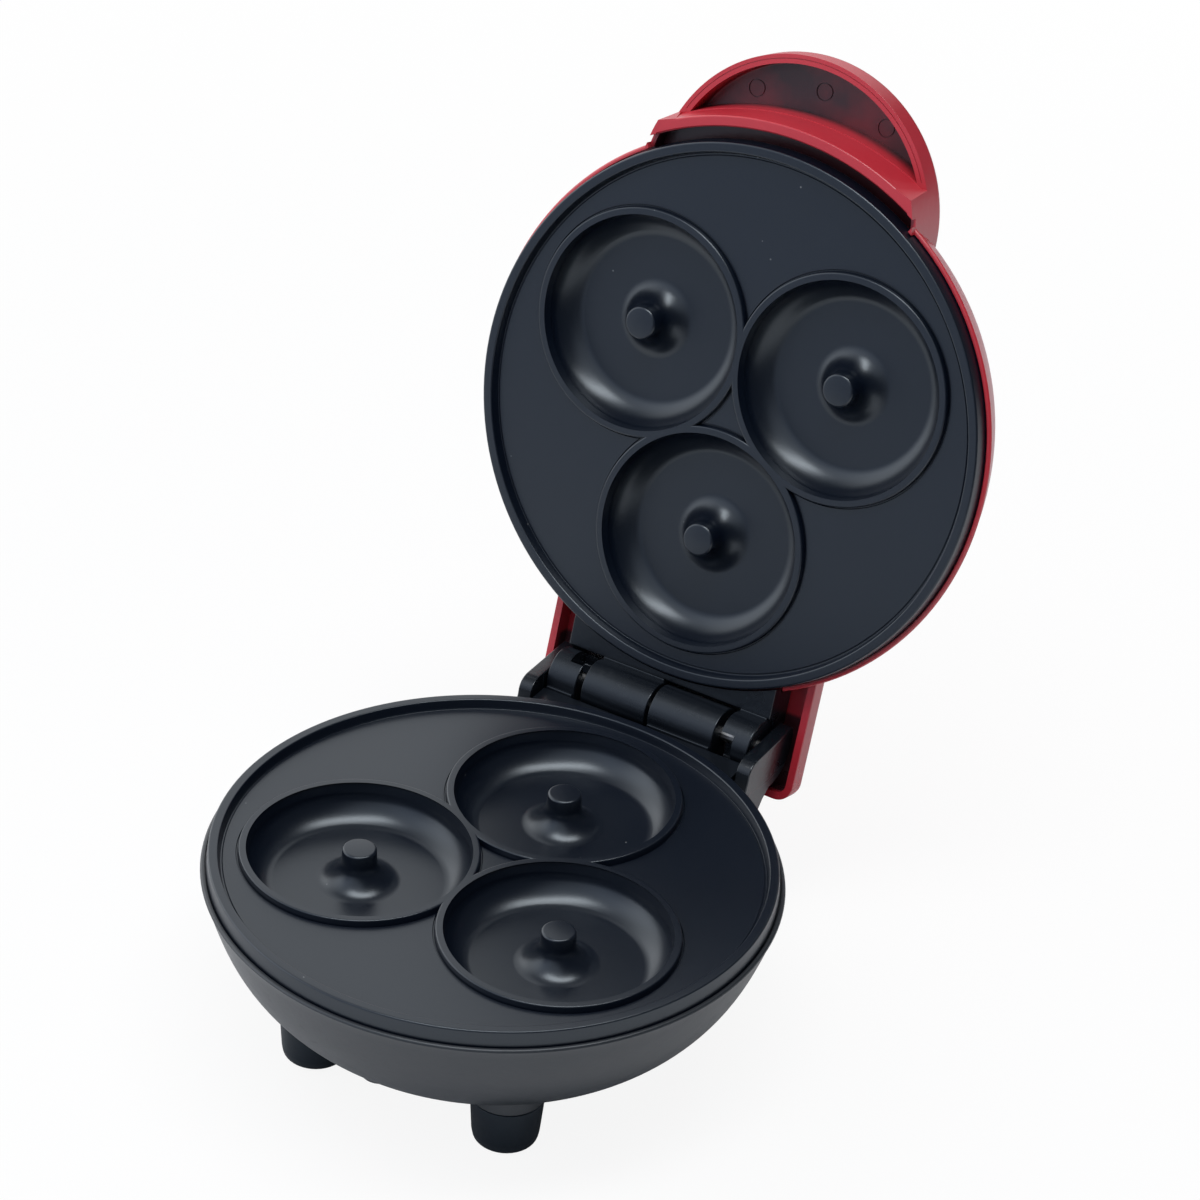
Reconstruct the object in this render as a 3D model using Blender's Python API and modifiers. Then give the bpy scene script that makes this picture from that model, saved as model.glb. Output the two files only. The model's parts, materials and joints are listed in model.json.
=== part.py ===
"""A mini doughnut maker: two round halves with three ring cavities each, joined by a rear hinge.

The lid stands open at rest, and the hinge is at +Y. Each half is drawn in its own half frame, where
height 0 is the plate's field and +Z points at the other half. The base is then lifted to its height and
the lid is mirrored and hung on its pivot. Last, the whole object is moved so that the origin is on the
table, below the middle of its box.
"""

import math

import bmesh
import bpy
from mathutils import Matrix, Vector

OBJECT_NAME = "mini_doughnut_maker"

# Driving sizes of the whole object, in metres.
RIM_R = 0.0620
CLEAR_UNDER_BOWL = 0.0131
BOWL_DEPTH = 0.0293
LIP_BELOW_FIELD = 0.0017
HINGE_BEHIND_RIM = 0.0083
HINGE_OVER_FIELD = 0.00165
OPEN_ANGLE = math.radians(105.5)

# Clearances shared by all pieces.
SEAT_GAP = 0.0003
CUT_OVERRUN = 0.006
MERGE = 0.0000002

# Baking plates.
RIM_H = 0.0020
RIM_W = 0.00265
RIM_EDGE = 0.0004
RIM_SLOPE = 0.0005
RIM_DRAFT = 0.0004
PLATE_T = 0.0023
RIMS_APART = 0.0004
CAVITY_COUNT = 3
CAVITY_RING_SHARE = 0.4721
CAVITY_SHARE = 0.40065
CAVITY_DEPTH = 0.0070
CAVITY_FLOOR_RISE = 0.0012
CAVITY_SHOULDER_IN = 0.0038
CAVITY_SHOULDER_DEPTH = 0.0056
CAVITY_WALL = 0.0022
BEAD_W = 0.0015
BEAD_H = 0.0014
BEAD_EDGE = 0.0003
CONE_R = 0.0085
CONE_TOP_R = 0.0046
CONE_TOP_DEPTH = 0.0036
PEG_R = 0.0038
PEG_EDGE = 0.0003

# Bosses under a plate, and the posts of the housings that hold them.
BOSS_RING_SHARE = 0.6935
BOSS_R = 0.0032
BOSS_END_DEPTH = 0.0090
POST_R = 0.0042
CENTRE_BOSS_R = 0.0042

# Screws.
SHANK_R = 0.0013
SCREW_HOLE_R = 0.0016
HEAD_R = 0.0027
HEAD_H = 0.0019
HEAD_HOLE_R = 0.0031
SCREW_TIP_GAP = 0.0006

# Bowls of the two housings.
LIP_GAP = 0.0003
LIP_T = 0.0009
LIP_EDGE = 0.0003
WALL = 0.0020
LEDGE_W = 0.0016
LEDGE_T = 0.0022
BOWL_TAPER_SHARE = 0.1415
BOWL_CURVE_SHARE = 0.1521
BOWL_CURVE_POWER = 3.41
BOWL_DEPTH_SHARES = (0.14, 0.38, 0.60, 0.77, 0.90, 0.97, 1.0)
INSIDE_DEPTH_SHARES = (0.38, 0.68, 0.88, 1.0)

# Hinge: knuckles, the two equal hinge blocks, and the pin.
KNUCKLE_R = 0.0060
PIN_R = 0.0015
PIN_GAP = 0.0002
PIN_IN_EAR = 0.0018
KNUCKLE_MIDDLE_GAP = 0.0006
INNER_KNUCKLE_SHARE = 0.2742
OUTER_KNUCKLE_GAP = 0.0016
OUTER_KNUCKLE_SHARE = 0.1242
KNUCKLE_END_IN = 0.0002
BLOCK_FACE_H = 0.0005
BLOCK_DEPTH = 0.0086
CRADLE_GAP = 0.0006
CRADLE_TO = math.radians(266)
KNUCKLE_FROM = math.radians(-80)
KNUCKLE_TO = math.radians(190)
WEB_FRONT_SHARE = 0.3
WEB_BACK_SHARE = 0.6
WEB_DEPTH_SHARE = 0.8
BLOCK_HEEL_SHARE = 0.33
NOTCH_WALL_IN = 0.0002
SLOT_L = 0.0035
SLOT_FRONT = 0.0025
SLOT_BACK = 0.0045
SLOT_FLOOR = 0.0011

# Hinge neck of the base housing.
EAR_T = 0.0035
EAR_SIDE_GAP = 0.0004
EAR_TOP_OVER_AXIS = 0.0023
EAR_BACK_R = 0.0090
EAR_REACH_FRONT = 0.0119
EAR_FRONT_DROP = 0.0017
EAR_FRONT_SLOPE = 0.0036
EAR_FRONT_SHARES = ((0.08, 0.42), (0.28, 0.78))
EAR_CREST_SHARES = ((0.60, 0.12), (1.00, 0.0))
EAR_BACK_FROM = math.radians(15)
EAR_BACK_TO = math.radians(-95)
NECK_FLOOR_T = 0.0030
NECK_BACK_Y_IN = 0.0035
NECK_LOW_Y_IN = 0.0093
NECK_LOW_DEPTH = 0.0155
NECK_END_Y_IN = 0.0140
NECK_END_DEPTH = 0.0184
NECK_FRONT_SHARE = 0.3387
HINGE_SCREW_X_SHARE = 0.60
HINGE_SCREW_Y_IN = 0.0058
HINGE_SCREW_TIP_DEPTH = 0.0036

# Lid: tail channel over the neck, arc lip at the front, D-shaped handle.
TAIL_WALL = 0.0018
TAIL_SIDE_GAP = 0.0018
TAIL_BEHIND_AXIS = 0.0133
TAIL_RIM_DEPTH = 0.0038
TAIL_CORNER_R = 0.0042
TAIL_ROUND = 0.0030
TAIL_FRONT_SHARE = 0.6
ARC_GAP_W = 0.00155
ARC_T = 0.0025
ARC_TOP_H = 0.0001
ARC_RECESS_HALF_ANGLE = math.radians(31.5)
ARC_SIDE_OUT = 0.0006
ARC_DRAFT = 0.0012
ARC_GAP_DEPTH = 0.0060
ARC_ROOT_IN = 0.0060
HANDLE_SHARE = 0.5484
HANDLE_WALL = 0.0021
HANDLE_CENTRE_IN = 0.0153
HANDLE_RIM_DEPTH = 0.0086
HANDLE_POCKET_DEPTH = 0.0058
HANDLE_TOP_T = 0.0022
HANDLE_ROUND = 0.0025

# Feet.
FOOT_X_SHARE = 0.3968
FRONT_FOOT_Y_SHARE = -0.4968
REAR_FOOT_IN = 0.0163
FOOT_TOP_R = 0.0081
FOOT_END_R = 0.0074
FOOT_ROUND = 0.0026
FOOT_PAD_H = 0.0010
FOOT_PAD_R = 0.0083
FOOT_PAD_TOP_DEPTH = 0.0142
FOOT_SEAT_H = 0.0050
FOOT_BOSS_R = 0.0040
FOOT_BOSS_L = 0.0060

# Heating parts, the same in both halves.
ELEMENT_RING_SHARE = 0.5161
ELEMENT_R = 0.0030
ELEMENT_OPEN_ANGLE = math.radians(50)
SHIELD_SHARE = 0.6048
SHIELD_T = 0.0008
SHIELD_FLANGE_H = 0.0040
THERMOSTAT_R = 0.0050
THERMOSTAT_H = 0.0055
THERMOSTAT_CAP_R = 0.0036
THERMOSTAT_CAP_H = 0.0016
THERMOSTAT_RING_SHARE = 0.8387
THERMOSTAT_ANGLE = math.radians(166)
FUSE_R = 0.0020
FUSE_L = 0.0110
FUSE_RING_SHARE = 0.8226
FUSE_ANGLE = math.radians(14)
CENTRE_SCREW_IN = 0.0060

# Supply parts in the base.
TERMINAL_W = 0.0240
TERMINAL_D = 0.0120
TERMINAL_H_SHARE = 0.55
TERMINAL_Y_SHARE = 0.371
TERMINAL_WAYS = 3
TERMINAL_WAY_R = 0.0018
TERMINAL_WAY_DEPTH = 0.0030
OUTLET_CLEAR = 0.0010
OUTLET_BOSS_R = 0.0058
OUTLET_BOSS_END_IN = 0.0076
OUTLET_BOSS_L = 0.0080
GLAND_BORE_R = 0.0032
GLAND_R = 0.0044
GLAND_FLANGE_R = 0.0056
GLAND_FLANGE_T = 0.0020
GLAND_IN_L = 0.0040

# Indicator in the lid.
LENS_Y_SHARE = -0.2903
LENS_R = 0.0030
LENS_FLANGE_R = 0.0044
LENS_FLANGE_T = 0.0012
LENS_PROUD = 0.0006
LENS_TOP_SHARE = 0.7
LAMP_R = 0.0021
LAMP_L_SHARE = 0.48

# Steps of the round shapes.
BOWL_STEPS = 40
CAVITY_STEPS = 24
SMALL_STEPS = 12
ARC_STEPS = 6
FOOT_STEPS = 16
SCREW_STEPS = 8
ROUND_STEPS = 3
SHARP_ANGLE = math.radians(32)

# Places that follow from the sizes above.
FIELD_Z = CLEAR_UNDER_BOWL + BOWL_DEPTH + LIP_BELOW_FIELD
LID_FIELD_Z = FIELD_Z + 2 * RIM_H + RIMS_APART
HINGE_Y = RIM_R + HINGE_BEHIND_RIM
HINGE_Z = FIELD_Z + HINGE_OVER_FIELD
AXIS_IN_BASE = HINGE_OVER_FIELD
AXIS_IN_LID = LID_FIELD_Z - HINGE_Z
PLATE_SKIRT_R = RIM_R + RIM_DRAFT
LIP_INNER_R = PLATE_SKIRT_R + LIP_GAP
LIP_R = LIP_INNER_R + LIP_T
LEDGE_H = -PLATE_T - SEAT_GAP
CAVITY_RING_R = RIM_R * CAVITY_RING_SHARE
CAVITY_R = RIM_R * CAVITY_SHARE
BOSS_RING_R = RIM_R * BOSS_RING_SHARE
ELEMENT_RING_R = RIM_R * ELEMENT_RING_SHARE
SHIELD_R = RIM_R * SHIELD_SHARE
THERMOSTAT_RING_R = RIM_R * THERMOSTAT_RING_SHARE
FUSE_RING_R = RIM_R * FUSE_RING_SHARE
FOOT_X = RIM_R * FOOT_X_SHARE
FRONT_FOOT_Y = RIM_R * FRONT_FOOT_Y_SHARE
REAR_FOOT_Y = HINGE_Y - REAR_FOOT_IN
OUTLET_BOSS_END_Y = LIP_R - OUTLET_BOSS_END_IN
OUTLET_BOSS_START_Y = OUTLET_BOSS_END_Y - OUTLET_BOSS_L
OUTLET_DEPTH = NECK_END_DEPTH + GLAND_FLANGE_R + OUTLET_CLEAR
TERMINAL_Y = RIM_R * TERMINAL_Y_SHARE
LENS_Y = RIM_R * LENS_Y_SHARE
HANDLE_R = RIM_R * HANDLE_SHARE
HANDLE_CENTRE_Y = HANDLE_CENTRE_IN - LIP_R
BOWL_END_H = -LIP_BELOW_FIELD - BOWL_DEPTH
LUMP_END_H = -CAVITY_DEPTH - CAVITY_WALL
ELEMENT_H = LUMP_END_H - SEAT_GAP - ELEMENT_R
SHIELD_TOP_H = ELEMENT_H - ELEMENT_R - SEAT_GAP
SHIELD_END_H = SHIELD_TOP_H - SHIELD_T
INSIDE_ROOM = SHIELD_END_H - BOWL_END_H - WALL
TERMINAL_H = INSIDE_ROOM * TERMINAL_H_SHARE
LAMP_L = INSIDE_ROOM * LAMP_L_SHARE
INNER_FROM = KNUCKLE_MIDDLE_GAP / 2
INNER_TO = INNER_FROM + RIM_R * INNER_KNUCKLE_SHARE
OUTER_FROM = INNER_TO + OUTER_KNUCKLE_GAP
OUTER_TO = OUTER_FROM + RIM_R * OUTER_KNUCKLE_SHARE - KNUCKLE_END_IN
BLOCK_HALF = OUTER_TO + KNUCKLE_END_IN
HINGE_SCREW_X = BLOCK_HALF * HINGE_SCREW_X_SHARE
NECK_FRONT_Y = HINGE_Y - RIM_R * NECK_FRONT_SHARE
EAR_INNER_X = BLOCK_HALF + EAR_SIDE_GAP
EAR_OUTER_X = EAR_INNER_X + EAR_T
TAIL_INNER_X = EAR_OUTER_X + TAIL_SIDE_GAP
TAIL_OUTER_X = TAIL_INNER_X + TAIL_WALL
TAIL_END_Y = HINGE_Y + TAIL_BEHIND_AXIS
TAIL_TOP_DEPTH = BLOCK_DEPTH + SEAT_GAP + TAIL_WALL
ARC_INNER_R = LIP_R + ARC_GAP_W
ARC_OUTER_R = ARC_INNER_R + ARC_T
POCKET_FLOOR_DEPTH = HANDLE_RIM_DEPTH + HANDLE_POCKET_DEPTH
HANDLE_TOP_DEPTH = POCKET_FLOOR_DEPTH + HANDLE_TOP_T
HINGE_SCREW_Y = HINGE_Y - HINGE_SCREW_Y_IN
HINGE_SCREW_SEAT_H = -BLOCK_DEPTH - SEAT_GAP - NECK_FLOOR_T
FOOT_PAD_H_IN_BASE = BOWL_END_H - FOOT_PAD_H


def new_collection(name):
    group = bpy.data.collections.new(name)
    bpy.context.scene.collection.children.link(group)
    return group


def clear_scene():
    for obj in list(bpy.data.objects):
        bpy.data.objects.remove(obj, do_unlink=True)


clear_scene()
PARTS = new_collection(OBJECT_NAME)
CUTTERS = new_collection("cutters")


# Tools that make one solid each.


def tool_object(name, data):
    """Adds a hidden working object."""
    obj = bpy.data.objects.new(name, data)
    CUTTERS.objects.link(obj)
    obj.hide_render = True
    obj.display_type = "WIRE"
    return obj


def from_bmesh(name, bm):
    mesh = bpy.data.meshes.new(name)
    bm.to_mesh(mesh)
    bm.free()
    return tool_object(name, mesh)


def evaluated_mesh(obj):
    """Returns the object's final mesh in world space, welded and facing out."""
    bpy.context.view_layer.update()
    graph = bpy.context.evaluated_depsgraph_get()
    mesh = bpy.data.meshes.new_from_object(obj.evaluated_get(graph))
    mesh.transform(obj.matrix_world)
    bm = bmesh.new()
    bm.from_mesh(mesh)
    bmesh.ops.remove_doubles(bm, verts=bm.verts, dist=MERGE)
    bmesh.ops.recalc_face_normals(bm, faces=bm.faces)
    bm.to_mesh(mesh)
    bm.free()
    return mesh


def made_solid(obj):
    """Replaces a curve or a modified object by its plain mesh."""
    mesh = evaluated_mesh(obj)
    name = obj.name
    bpy.data.objects.remove(obj, do_unlink=True)
    return tool_object(name, mesh)


def box(name, low, high):
    bm = bmesh.new()
    bmesh.ops.create_cube(bm, size=1.0)
    size = [h - l for l, h in zip(low, high)]
    middle = [(h + l) / 2 for l, h in zip(low, high)]
    bmesh.ops.transform(bm, verts=bm.verts, matrix=Matrix.Translation(middle) @ Matrix.Diagonal(size + [1.0]))
    return from_bmesh(name, bm)


def rod(name, radius, low, high, centre=(0, 0), top_radius=None, steps=SMALL_STEPS, axis="Z"):
    """A cylinder or cone from low to high along an axis, about a centre in the other two directions."""
    bm = bmesh.new()
    end = radius if top_radius is None else top_radius
    bmesh.ops.create_cone(
        bm, cap_ends=True, segments=steps, radius1=radius, radius2=end, depth=high - low
    )
    middle = (low + high) / 2
    if axis == "Z":
        place = Matrix.Translation((centre[0], centre[1], middle))
    elif axis == "Y":
        place = Matrix.Translation((centre[0], middle, centre[1])) @ Matrix.Rotation(-math.pi / 2, 4, "X")
    else:
        place = Matrix.Translation((middle, centre[0], centre[1])) @ Matrix.Rotation(math.pi / 2, 4, "Y")
    bmesh.ops.transform(bm, verts=bm.verts, matrix=place)
    return from_bmesh(name, bm)


def turned(name, profile, steps, centre=(0, 0), closed=False):
    """Turns a profile of (radius, height) points, listed top to bottom, about a vertical axis.

    The first facet corner lies on the line from the plate's middle through the centre.
    """
    mesh = bpy.data.meshes.new(name)
    edges = [(i, i + 1) for i in range(len(profile) - 1)]
    if closed:
        edges.append((len(profile) - 1, 0))
    mesh.from_pydata([(r, 0, h) for r, h in profile], edges, [])
    obj = tool_object(name, mesh)
    screw = obj.modifiers.new("turn", "SCREW")
    screw.axis = "Z"
    screw.steps = steps
    screw.render_steps = steps
    screw.use_merge_vertices = True
    screw.merge_threshold = MERGE
    obj.location = (centre[0], centre[1], 0)
    obj.rotation_euler = (0, 0, math.atan2(centre[1], centre[0]))
    return made_solid(obj)


def prism(name, outline, low, high, axis="Z"):
    """Fills a flat outline and extrudes it: (x, y) along Z, or (y, z) along X."""
    curve = bpy.data.curves.new(name, "CURVE")
    curve.dimensions = "2D"
    curve.fill_mode = "BOTH"
    curve.extrude = (high - low) / 2
    spline = curve.splines.new("POLY")
    spline.points.add(len(outline) - 1)
    for point, (u, v) in zip(spline.points, outline):
        point.co = (u, v, 0, 1)
    spline.use_cyclic_u = True
    obj = tool_object(name, curve)
    middle = (low + high) / 2
    if axis == "Z":
        obj.location = (0, 0, middle)
    else:
        turn = Matrix(((0, 0, 1), (1, 0, 0), (0, 1, 0))).to_4x4()
        obj.matrix_world = Matrix.Translation((middle, 0, 0)) @ turn
    return made_solid(obj)


def tube(name, points, radius):
    """A round bar along a line of points."""
    curve = bpy.data.curves.new(name, "CURVE")
    curve.dimensions = "3D"
    curve.bevel_depth = radius
    curve.bevel_resolution = 2
    curve.use_fill_caps = True
    spline = curve.splines.new("POLY")
    spline.points.add(len(points) - 1)
    for point, place in zip(spline.points, points):
        point.co = (*place, 1)
    return made_solid(tool_object(name, curve))


def combine(obj, other, operation):
    modifier = obj.modifiers.new(operation.lower(), "BOOLEAN")
    modifier.operation = operation
    modifier.solver = "EXACT"
    modifier.object = other
    return made_solid(obj)


def fuse(obj, *others):
    for other in others:
        obj = combine(obj, other, "UNION")
    return obj


def cut(obj, *others):
    for other in others:
        obj = combine(obj, other, "DIFFERENCE")
    return obj


def common(obj, other):
    return combine(obj, other, "INTERSECT")


def round_edges(obj, chosen, width):
    """Rounds the sharp edges whose two ends pass a test."""
    bm = bmesh.new()
    bm.from_mesh(obj.data)
    edges = [e for e in bm.edges if all(chosen(v.co) for v in e.verts) and e.calc_face_angle(0) > SHARP_ANGLE]
    bmesh.ops.bevel(
        bm, geom=edges, offset=width, segments=ROUND_STEPS, profile=0.5, affect="EDGES", clamp_overlap=True
    )
    bm.to_mesh(obj.data)
    bm.free()
    return obj


def arc_points(centre, radius, start, end, steps=ARC_STEPS):
    """Points along an arc, both ends included."""
    return [
        (
            centre[0] + radius * math.cos(start + (end - start) * i / steps),
            centre[1] + radius * math.sin(start + (end - start) * i / steps),
        )
        for i in range(steps + 1)
    ]


def around(radius, angle):
    """A point on a circle about the plate's middle."""
    return (radius * math.cos(angle), radius * math.sin(angle))


def cavity_centres():
    """The first cavity is nearest the hinge."""
    step = 2 * math.pi / CAVITY_COUNT
    return [around(CAVITY_RING_R, math.pi / 2 + i * step) for i in range(CAVITY_COUNT)]


def boss_centres():
    """A boss stands in each space between two cavities."""
    step = 2 * math.pi / CAVITY_COUNT
    return [around(BOSS_RING_R, math.pi / 2 + (i + 0.5) * step) for i in range(CAVITY_COUNT)]


# Materials.


def material(name, colour, roughness, metallic=0.0):
    """A Principled material, made once for each name."""
    if name in bpy.data.materials:
        return bpy.data.materials[name]
    made = bpy.data.materials.new(name)
    made.use_nodes = True
    made.diffuse_color = (*colour, 1.0)
    shader = made.node_tree.nodes["Principled BSDF"]
    shader.inputs["Base Color"].default_value = (*colour, 1.0)
    shader.inputs["Roughness"].default_value = roughness
    shader.inputs["Metallic"].default_value = metallic
    return made


def red_plastic():
    return material("red_plastic", (0.58, 0.03, 0.045), 0.35)


def black_plastic():
    return material("black_plastic", (0.035, 0.037, 0.041), 0.35)


def dark_plate():
    return material("nonstick_plate", (0.025, 0.030, 0.037), 0.42)


def steel():
    return material("steel", (0.55, 0.55, 0.54), 0.35, 1.0)


def zinc():
    return material("zinc_screw", (0.45, 0.45, 0.43), 0.40, 1.0)


def foot_rubber():
    return material("foot_rubber", (0.018, 0.024, 0.036), 0.60)


def element_sheath():
    return material("element_sheath", (0.30, 0.27, 0.24), 0.45, 0.9)


def pale_ceramic():
    return material("ceramic", (0.72, 0.69, 0.62), 0.55)


def lens_plastic():
    return material("lens_plastic", (0.75, 0.16, 0.05), 0.20)


def lamp_glass():
    return material("lamp_glass", (0.80, 0.45, 0.25), 0.15)


# Placing finished pieces.


def publish(obj, name, finish):
    """Moves a finished solid to the parts, under its own name and material."""
    mesh = obj.data
    bpy.data.objects.remove(obj, do_unlink=True)
    mesh.name = name
    mesh.materials.clear()
    mesh.materials.append(finish)
    mesh.shade_smooth()
    mesh.set_sharp_from_angle(angle=SHARP_ANGLE)
    piece = bpy.data.objects.new(name, mesh)
    PARTS.objects.link(piece)
    return piece


def place_in_base(obj, name, finish):
    """Lifts a piece drawn in the half frame to the base's height."""
    piece = publish(obj, name, finish)
    piece.location = (0, 0, FIELD_Z)
    return piece


def place_on_table(obj, name, finish):
    """Keeps a piece that is drawn from the table up."""
    return publish(obj, name, finish)


def place_in_lid(obj, name, finish, pivot):
    """Mirrors a piece drawn in the half frame into the lid and hangs it on the pivot."""
    obj.data.transform(Matrix.Diagonal((1, 1, -1, 1)))
    obj.data.flip_normals()
    piece = publish(obj, name, finish)
    piece.parent = pivot
    piece.location = (0, -HINGE_Y, LID_FIELD_Z - HINGE_Z)
    return piece


def lid_pivot():
    """An empty on the hinge axis, turned back to the open pose."""
    pivot = bpy.data.objects.new("lid_pivot", None)
    pivot.empty_display_size = KNUCKLE_R
    pivot.location = (0, HINGE_Y, HINGE_Z)
    pivot.rotation_euler = (-OPEN_ANGLE, 0, 0)
    PARTS.objects.link(pivot)
    return pivot


# Baking plate.


def plate_disc():
    """The field with its raised rim and drafted edge."""
    rim_in = RIM_R - RIM_W
    profile = [
        (0, 0),
        (rim_in, 0),
        (rim_in + RIM_SLOPE, RIM_H - RIM_EDGE),
        (rim_in + RIM_SLOPE + RIM_EDGE, RIM_H),
        (RIM_R - RIM_EDGE, RIM_H),
        (RIM_R, RIM_H - RIM_EDGE),
        (PLATE_SKIRT_R, LEDGE_H + SEAT_GAP),
        (0, -PLATE_T),
    ]
    return turned("plate_disc", profile, BOWL_STEPS)


def cavity_lump(centre):
    """What a cavity adds to the plate: the bead above the field and the cup below it."""
    bead_r = CAVITY_R + BEAD_W
    profile = [
        (0, BEAD_H),
        (bead_r - BEAD_EDGE, BEAD_H),
        (bead_r, BEAD_H - BEAD_EDGE),
        (bead_r, -PLATE_T - CAVITY_WALL),
        (bead_r - CAVITY_SHOULDER_IN, LUMP_END_H),
        (0, LUMP_END_H),
    ]
    return turned("cavity_lump", profile, CAVITY_STEPS, centre)


def cavity_cutter(centre):
    """The space in a cavity: a ring trough around a cone that carries the peg."""
    above = BEAD_H + CUT_OVERRUN
    profile = [
        (PEG_R - PEG_EDGE, above),
        (CAVITY_R, above),
        (CAVITY_R, BEAD_H - BEAD_EDGE),
        (CAVITY_R - CAVITY_SHOULDER_IN, -CAVITY_SHOULDER_DEPTH),
        ((CAVITY_R + CONE_R) / 2, -CAVITY_DEPTH),
        (CONE_R, -CAVITY_DEPTH + CAVITY_FLOOR_RISE / 4),
        (CONE_TOP_R, -CONE_TOP_DEPTH),
        (PEG_R, BEAD_H - PEG_EDGE),
        (PEG_R - PEG_EDGE, BEAD_H),
    ]
    return turned("cavity_cutter", profile, CAVITY_STEPS, centre, closed=True)


def baking_plate():
    plate = plate_disc()
    plate = fuse(plate, *[cavity_lump(c) for c in cavity_centres()])
    plate = fuse(plate, rod("centre_boss", CENTRE_BOSS_R, SHIELD_TOP_H + SEAT_GAP, -PLATE_T / 2))
    for centre in boss_centres():
        plate = fuse(plate, rod("boss", BOSS_R, -BOSS_END_DEPTH, -PLATE_T / 2, centre))
    plate = cut(plate, *[cavity_cutter(c) for c in cavity_centres()])
    for centre in boss_centres():
        hole_top = -BOSS_END_DEPTH + CENTRE_SCREW_IN
        plate = cut(plate, rod("boss_hole", SCREW_HOLE_R, -BOSS_END_DEPTH - CUT_OVERRUN, hole_top, centre))
    hole_top = SHIELD_TOP_H + SEAT_GAP + CENTRE_SCREW_IN + SCREW_TIP_GAP
    return cut(plate, rod("centre_hole", SCREW_HOLE_R, SHIELD_TOP_H - CUT_OVERRUN, hole_top))


# Bowl of a housing.


def bowl_radius(share):
    """The bowl's outer radius at a share of its depth below the lip."""
    return LIP_R * (1 - BOWL_TAPER_SHARE * share - BOWL_CURVE_SHARE * share**BOWL_CURVE_POWER)


def bowl_outer():
    """The solid that the bowl's outside bounds."""
    lip_h = -LIP_BELOW_FIELD
    profile = [(0, lip_h), (LIP_R - LIP_EDGE, lip_h), (LIP_R, lip_h - LIP_EDGE)]
    profile += [(bowl_radius(s), lip_h - BOWL_DEPTH * s) for s in BOWL_DEPTH_SHARES]
    profile.append((0, BOWL_END_H))
    return turned("bowl_outer", profile, BOWL_STEPS)


def bowl_inner():
    """The space in the bowl, with a ledge below the lip where the plate sits."""
    lip_h = -LIP_BELOW_FIELD
    ledge_r = LIP_INNER_R - LEDGE_W
    profile = [
        (0, lip_h + CUT_OVERRUN),
        (LIP_INNER_R, lip_h + CUT_OVERRUN),
        (LIP_INNER_R, LEDGE_H),
        (ledge_r, LEDGE_H),
        (ledge_r, LEDGE_H - LEDGE_T),
    ]
    depth = BOWL_DEPTH - WALL
    for share in INSIDE_DEPTH_SHARES:
        profile.append((min(bowl_radius(share) - WALL, ledge_r), lip_h - depth * share))
    profile.append((0, lip_h - depth))
    return turned("bowl_inner", profile, BOWL_STEPS)


def ring(name, inner_r, outer_r, low, high):
    """A flat ring around the plate's middle."""
    disc = rod(name, outer_r, low, high, steps=BOWL_STEPS)
    return cut(disc, rod("ring_hole", inner_r, low - CUT_OVERRUN, high + CUT_OVERRUN, steps=BOWL_STEPS))


def lip_notch():
    """The break in the lip where the hinge block runs up to the plate's rim."""
    half = EAR_INNER_X + NOTCH_WALL_IN
    low = LEDGE_H - SEAT_GAP
    notch = ring("notch", LIP_INNER_R - NOTCH_WALL_IN, LIP_R + CUT_OVERRUN, low, CUT_OVERRUN)
    keep = box("notch_width", (-half, 0, low - CUT_OVERRUN), (half, 2 * LIP_R, 2 * CUT_OVERRUN))
    return common(notch, keep)


def post(centre, start_h, end_h, radius):
    return rod("post", radius, start_h, end_h, centre)


def inside_floor_h():
    return BOWL_END_H + WALL / 2


def plate_posts():
    """Posts from the bowl's floor up to the plate's bosses."""
    top = -BOSS_END_DEPTH - SEAT_GAP
    return [post(c, inside_floor_h(), top, POST_R) for c in boss_centres()]


def plate_screw_seat_h():
    """The height of the screw heads' seats in the base's posts."""
    return BOWL_END_H + 2 * WALL + HEAD_H


def foot_centres():
    return {
        "foot_front_left": (-FOOT_X, FRONT_FOOT_Y),
        "foot_front_right": (FOOT_X, FRONT_FOOT_Y),
        "foot_rear_left": (-FOOT_X, REAR_FOOT_Y),
        "foot_rear_right": (FOOT_X, REAR_FOOT_Y),
    }


# Base housing.


def neck_outline():
    """The side view of an ear of the hinge neck, in (y, height)."""
    axis = AXIS_IN_BASE
    front = HINGE_Y - EAR_REACH_FRONT
    top = axis + EAR_TOP_OVER_AXIS
    slope = EAR_FRONT_SLOPE
    foot_h = axis - EAR_FRONT_DROP
    outline = [
        (NECK_FRONT_Y, axis - NECK_LOW_DEPTH),
        (NECK_FRONT_Y, -LIP_BELOW_FIELD - 2 * LIP_EDGE),
        (front - slope / 4, -LIP_BELOW_FIELD - 2 * LIP_EDGE),
        (front, foot_h),
    ]
    outline += [(front + slope * along, foot_h + slope * up) for along, up in EAR_FRONT_SHARES]
    outline += [(front + slope * along, top - slope * down) for along, down in EAR_CREST_SHARES]
    outline += arc_points((HINGE_Y, axis), EAR_BACK_R, EAR_BACK_FROM, EAR_BACK_TO)
    outline += [
        (HINGE_Y - NECK_BACK_Y_IN, axis - EAR_BACK_R - EAR_FRONT_DROP),
        (HINGE_Y - NECK_LOW_Y_IN, -NECK_LOW_DEPTH),
        (HINGE_Y - NECK_END_Y_IN, -NECK_END_DEPTH),
    ]
    return outline


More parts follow.
